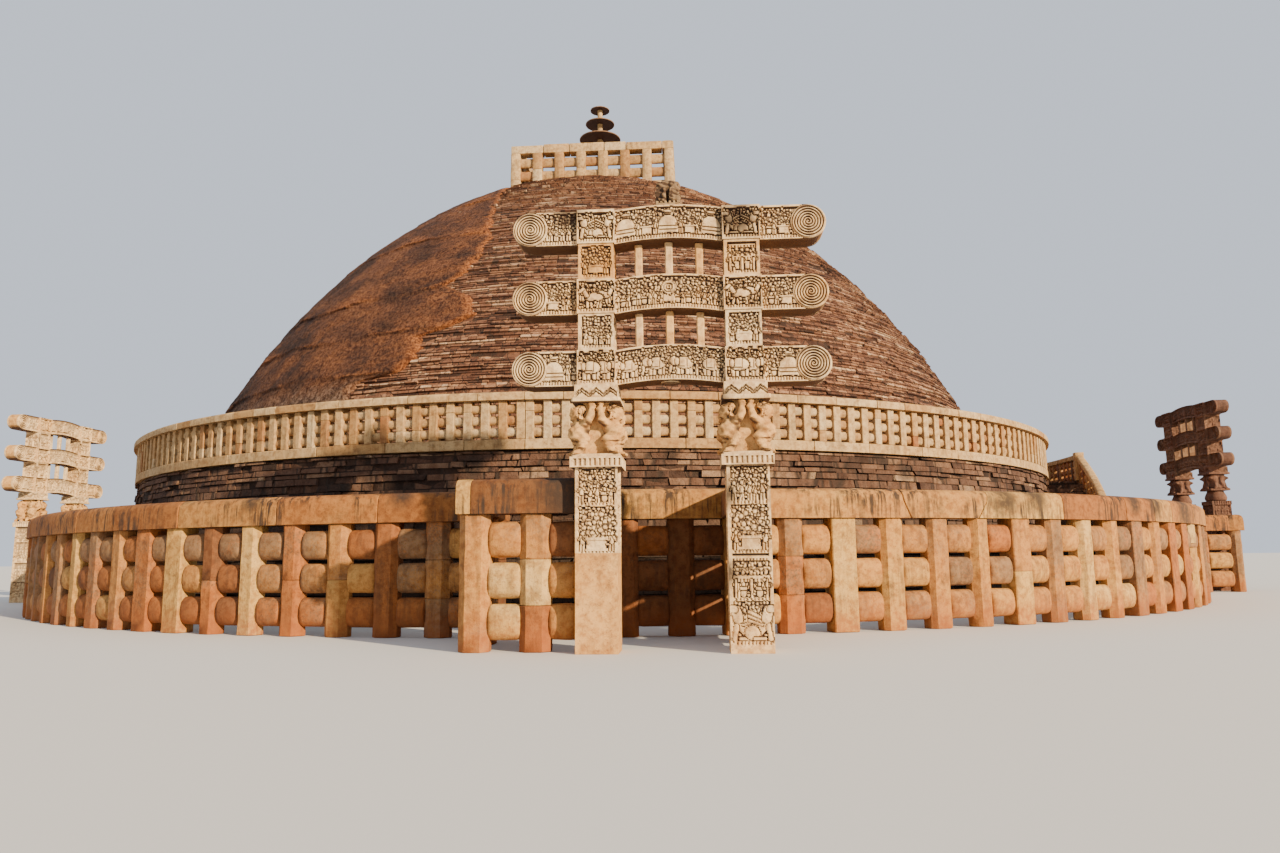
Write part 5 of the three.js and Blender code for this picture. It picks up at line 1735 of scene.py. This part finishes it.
def dwarf_capital(stones, middle, gate, figures, tone, dice):
    """Four dwarfs at the corners of a square core."""
    abacus, capital = gate["form"]["abacus"], gate["form"]["capital"]
    core = worn_block(0.27, 0.27, abacus, capital + 0.02, 0.04, dice, 3)
    stones.add(core, 0.36 if gate["name"] == "west" else 0.3, middle)
    stones.add(worn_block(0.41, 0.41, abacus - 0.02, abacus + 0.05, 0.02, dice, 1), tone, middle)
    points, faces = figures
    wide, y, z = np.abs(points[:, 0]), points[:, 1], points[:, 2]
    hair = (wide < 0.17) & (z > 0.64) & (z < 0.98) & ((y > -0.15) | (z > 0.86))
    curls = 1.6 * ripple(points, 0.055, 7) * hair
    folds = np.sin(z * 95 + 14 * wide) * ((z < 0.27) | (z > 0.93))
    carving = ripple(points, 0.16, 8) + curls + 0.45 * folds
    # raised paints shade: darker towards the back against the core, and in the hollows of hair and folds
    raised = np.clip((np.hypot(wide, y) - 0.04) / 0.22, 0, 0.8) + 0.35 * carving
    figure = points + (points * (1, 1, 0)) * 0.08 * carving[:, None]
    figure = figure * (1, 1, capital - abacus - 0.1) + (0, 0, abacus + 0.045)
    for corner in range(4):
        aside = 28 if corner % 2 == 0 else -28
        place = middle.at(0, 0, 45 + 90 * corner).at(0, -0.3, aside)
        stones.add((figure, faces), tone - 0.24 + dice.uniform(-0.05, 0.05), place, np.clip(raised, 0, 1))


LION_BELL = ((0.3, 0.0), (0.37, 0.06), (0.39, 0.16), (0.36, 0.26), (0.31, 0.36), (0.28, 0.44))


def lion_capital(stones, middle, gate, figures, tone, dice):
    """A bell with a slab on it and four lions back to back."""
    foot, capital = gate["form"]["abacus"] - 0.02, gate["form"]["capital"]
    slab = foot + 0.44
    stones.add(lathe([(out, foot + up) for out, up in LION_BELL], 24), tone - 0.05, middle)
    stones.add(worn_block(0.39, 0.39, slab, slab + 0.08, 0.02, dice, 1), tone, middle)
    stones.add(worn_block(0.3, 0.3, slab + 0.06, capital, 0.1, dice, 2), tone - 0.1, middle)
    points, faces = figures
    figure = points * (1.0, 0.85, capital - slab - 0.08) + (0, 0, slab + 0.06)
    # raised paints shade: darker towards each lion's back, where the four lions meet
    raised = np.clip((0.1 - points[:, 1]) / 0.3, 0.3, 1)
    for corner in range(4):
        place = middle.at(0, 0, 45 + 90 * corner).at(0, -0.16)
        stones.add((figure, faces), tone + dice.uniform(-0.06, 0.06), place, raised)


def build_finial():
    """What is left of a carved animal: two seated lumps without heads, on a toothed base."""
    foot = GATE_FORM["bases"]["upper"] + GATE_FORM["height"] + BEAM["arch_rise"]
    dice = random.Random(95)
    stones = Stones()
    spot = gate_spot(GATES[0]).at(0.0, PILLAR["width"] / 2)
    stones.add(worn_block(0.22, 0.22, foot + 0.001, foot + 0.05, 0.02, dice, 1), 0.9, spot)
    for k in range(6):
        tooth = worn_block(0.024, 0.21, foot + 0.05, foot + 0.09, 0.008, dice, 1)
        stones.add(tooth, 0.95, spot.at(0.076 * k - 0.19, 0.0))
    points, faces = melted((), BEAST_PAIRS, FINIAL_VOXEL)
    carving = ripple(points, 0.11, 9)
    points = points * (1, 1, 1.12) + (points * (1, 1, 0)) * 0.12 * carving[:, None]
    # raised paints shade on the left lump and in the hollows of the carving
    raised = np.clip(0.2 + 1.1 * carving + 2.8 * points[:, 0], 0, 1)
    stones.add((points + (0, 0, foot + 0.06), faces), 0.66, spot, raised)
    stones.piece("gateway_west_beasts", finial_stone, ["gateway_west_finial"], 40)


def build_gateways():
    seen_dwarf, far_dwarf = (melted(DWARF_BODY, DWARF_PAIRS, voxel) for voxel in (FINE_VOXEL, COARSE_VOXEL))
    lion = melted(LION_BODY, LION_PAIRS, COARSE_VOXEL)
    figures = {"west": seen_dwarf, "south": lion, "east": far_dwarf, "north": far_dwarf}
    for number, gate in enumerate(GATES):
        cell = FINE if gate["name"] == "west" else COARSE
        for k, level in enumerate(gate["form"]["bases"]):
            build_beam(gate, level, cell, 100 + 10 * number + k)
        for side, name in ((-1, "left"), (1, "right")):
            seed = 150 + 10 * number + side
            build_pillar(gate, name, side * PILLAR["x"], cell, figures[gate["name"]], seed)
    build_finial()


# The camera, the light and the floor

def camera_axes():
    yaw, pitch, roll = (math.radians(CAMERA[key]) for key in ("yaw", "pitch", "roll"))
    forward = Vector((-math.sin(yaw) * math.cos(pitch), math.cos(yaw) * math.cos(pitch), math.sin(pitch)))
    level = Vector((math.cos(yaw), math.sin(yaw), 0.0))
    upright = level.cross(forward)
    right = level * math.cos(roll) + upright * math.sin(roll)
    up = upright * math.cos(roll) - level * math.sin(roll)
    return right, up, -forward


def set_camera():
    lens = bpy.data.cameras.new("camera")
    lens.lens = LENS_MM
    lens.sensor_width = SENSOR_MM
    lens.clip_end = 500.0
    camera = bpy.data.objects.new("camera", lens)
    place = Matrix(camera_axes()).transposed().to_4x4()
    place.translation = Vector(CAMERA["place"]) * M
    camera.matrix_world = place
    bpy.context.scene.collection.objects.link(camera)
    bpy.context.scene.camera = camera


SUN_WAY = (-0.755, 0.656, -0.325)  # from the south-west, low over the right of the photograph
SUN_COLOR, SKY_COLOR, FLOOR_COLOR = (1.0, 0.83, 0.58), (0.76, 0.83, 0.95, 1.0), (0.6, 0.57, 0.53, 1.0)


def set_light():
    sun = bpy.data.lights.new("sun", "SUN")
    sun.energy = 11.0
    sun.angle = math.radians(1.5)
    sun.color = SUN_COLOR
    lamp = bpy.data.objects.new("sun", sun)
    lamp.rotation_euler = Vector(SUN_WAY).to_track_quat("-Z", "Y").to_euler()
    bpy.context.scene.collection.objects.link(lamp)
    world = bpy.data.worlds.new("studio")
    world.use_nodes = True
    background = world.node_tree.nodes["Background"]
    background.inputs["Color"].default_value = SKY_COLOR
    background.inputs["Strength"].default_value = 1.0
    bpy.context.scene.world = world


def lay_floor():
    mesh = bpy.data.meshes.new("floor")
    half = 250.0
    corners = [(-half, -half, 0), (half, -half, 0), (half, half, 0), (-half, half, 0)]
    mesh.from_pydata(corners, [], [(0, 1, 2, 3)])
    material = bpy.data.materials.new("floor")
    material.use_nodes = True
    shader = material.node_tree.nodes["Principled BSDF"]
    shader.inputs["Base Color"].default_value = FLOOR_COLOR
    shader.inputs["Roughness"].default_value = 0.95
    mesh.materials.append(material)
    floor = bpy.data.objects.new("floor", mesh)
    floor.location = (0.0, 0.0, -0.001)
    bpy.context.scene.collection.objects.link(floor)


build_dome()
build_plaster()
build_terrace()
for seed, (quarter, (start, end)) in enumerate(TERRACE_QUARTERS.items(), 24):
    build_terrace_railing(quarter, start, end, seed)
build_stair()
build_harmika()
build_mast()
for seed, run in enumerate(ring_runs(), 51):
    build_ground_railing(*run, seed)
build_gateways()
set_camera()
set_light()
lay_floor()
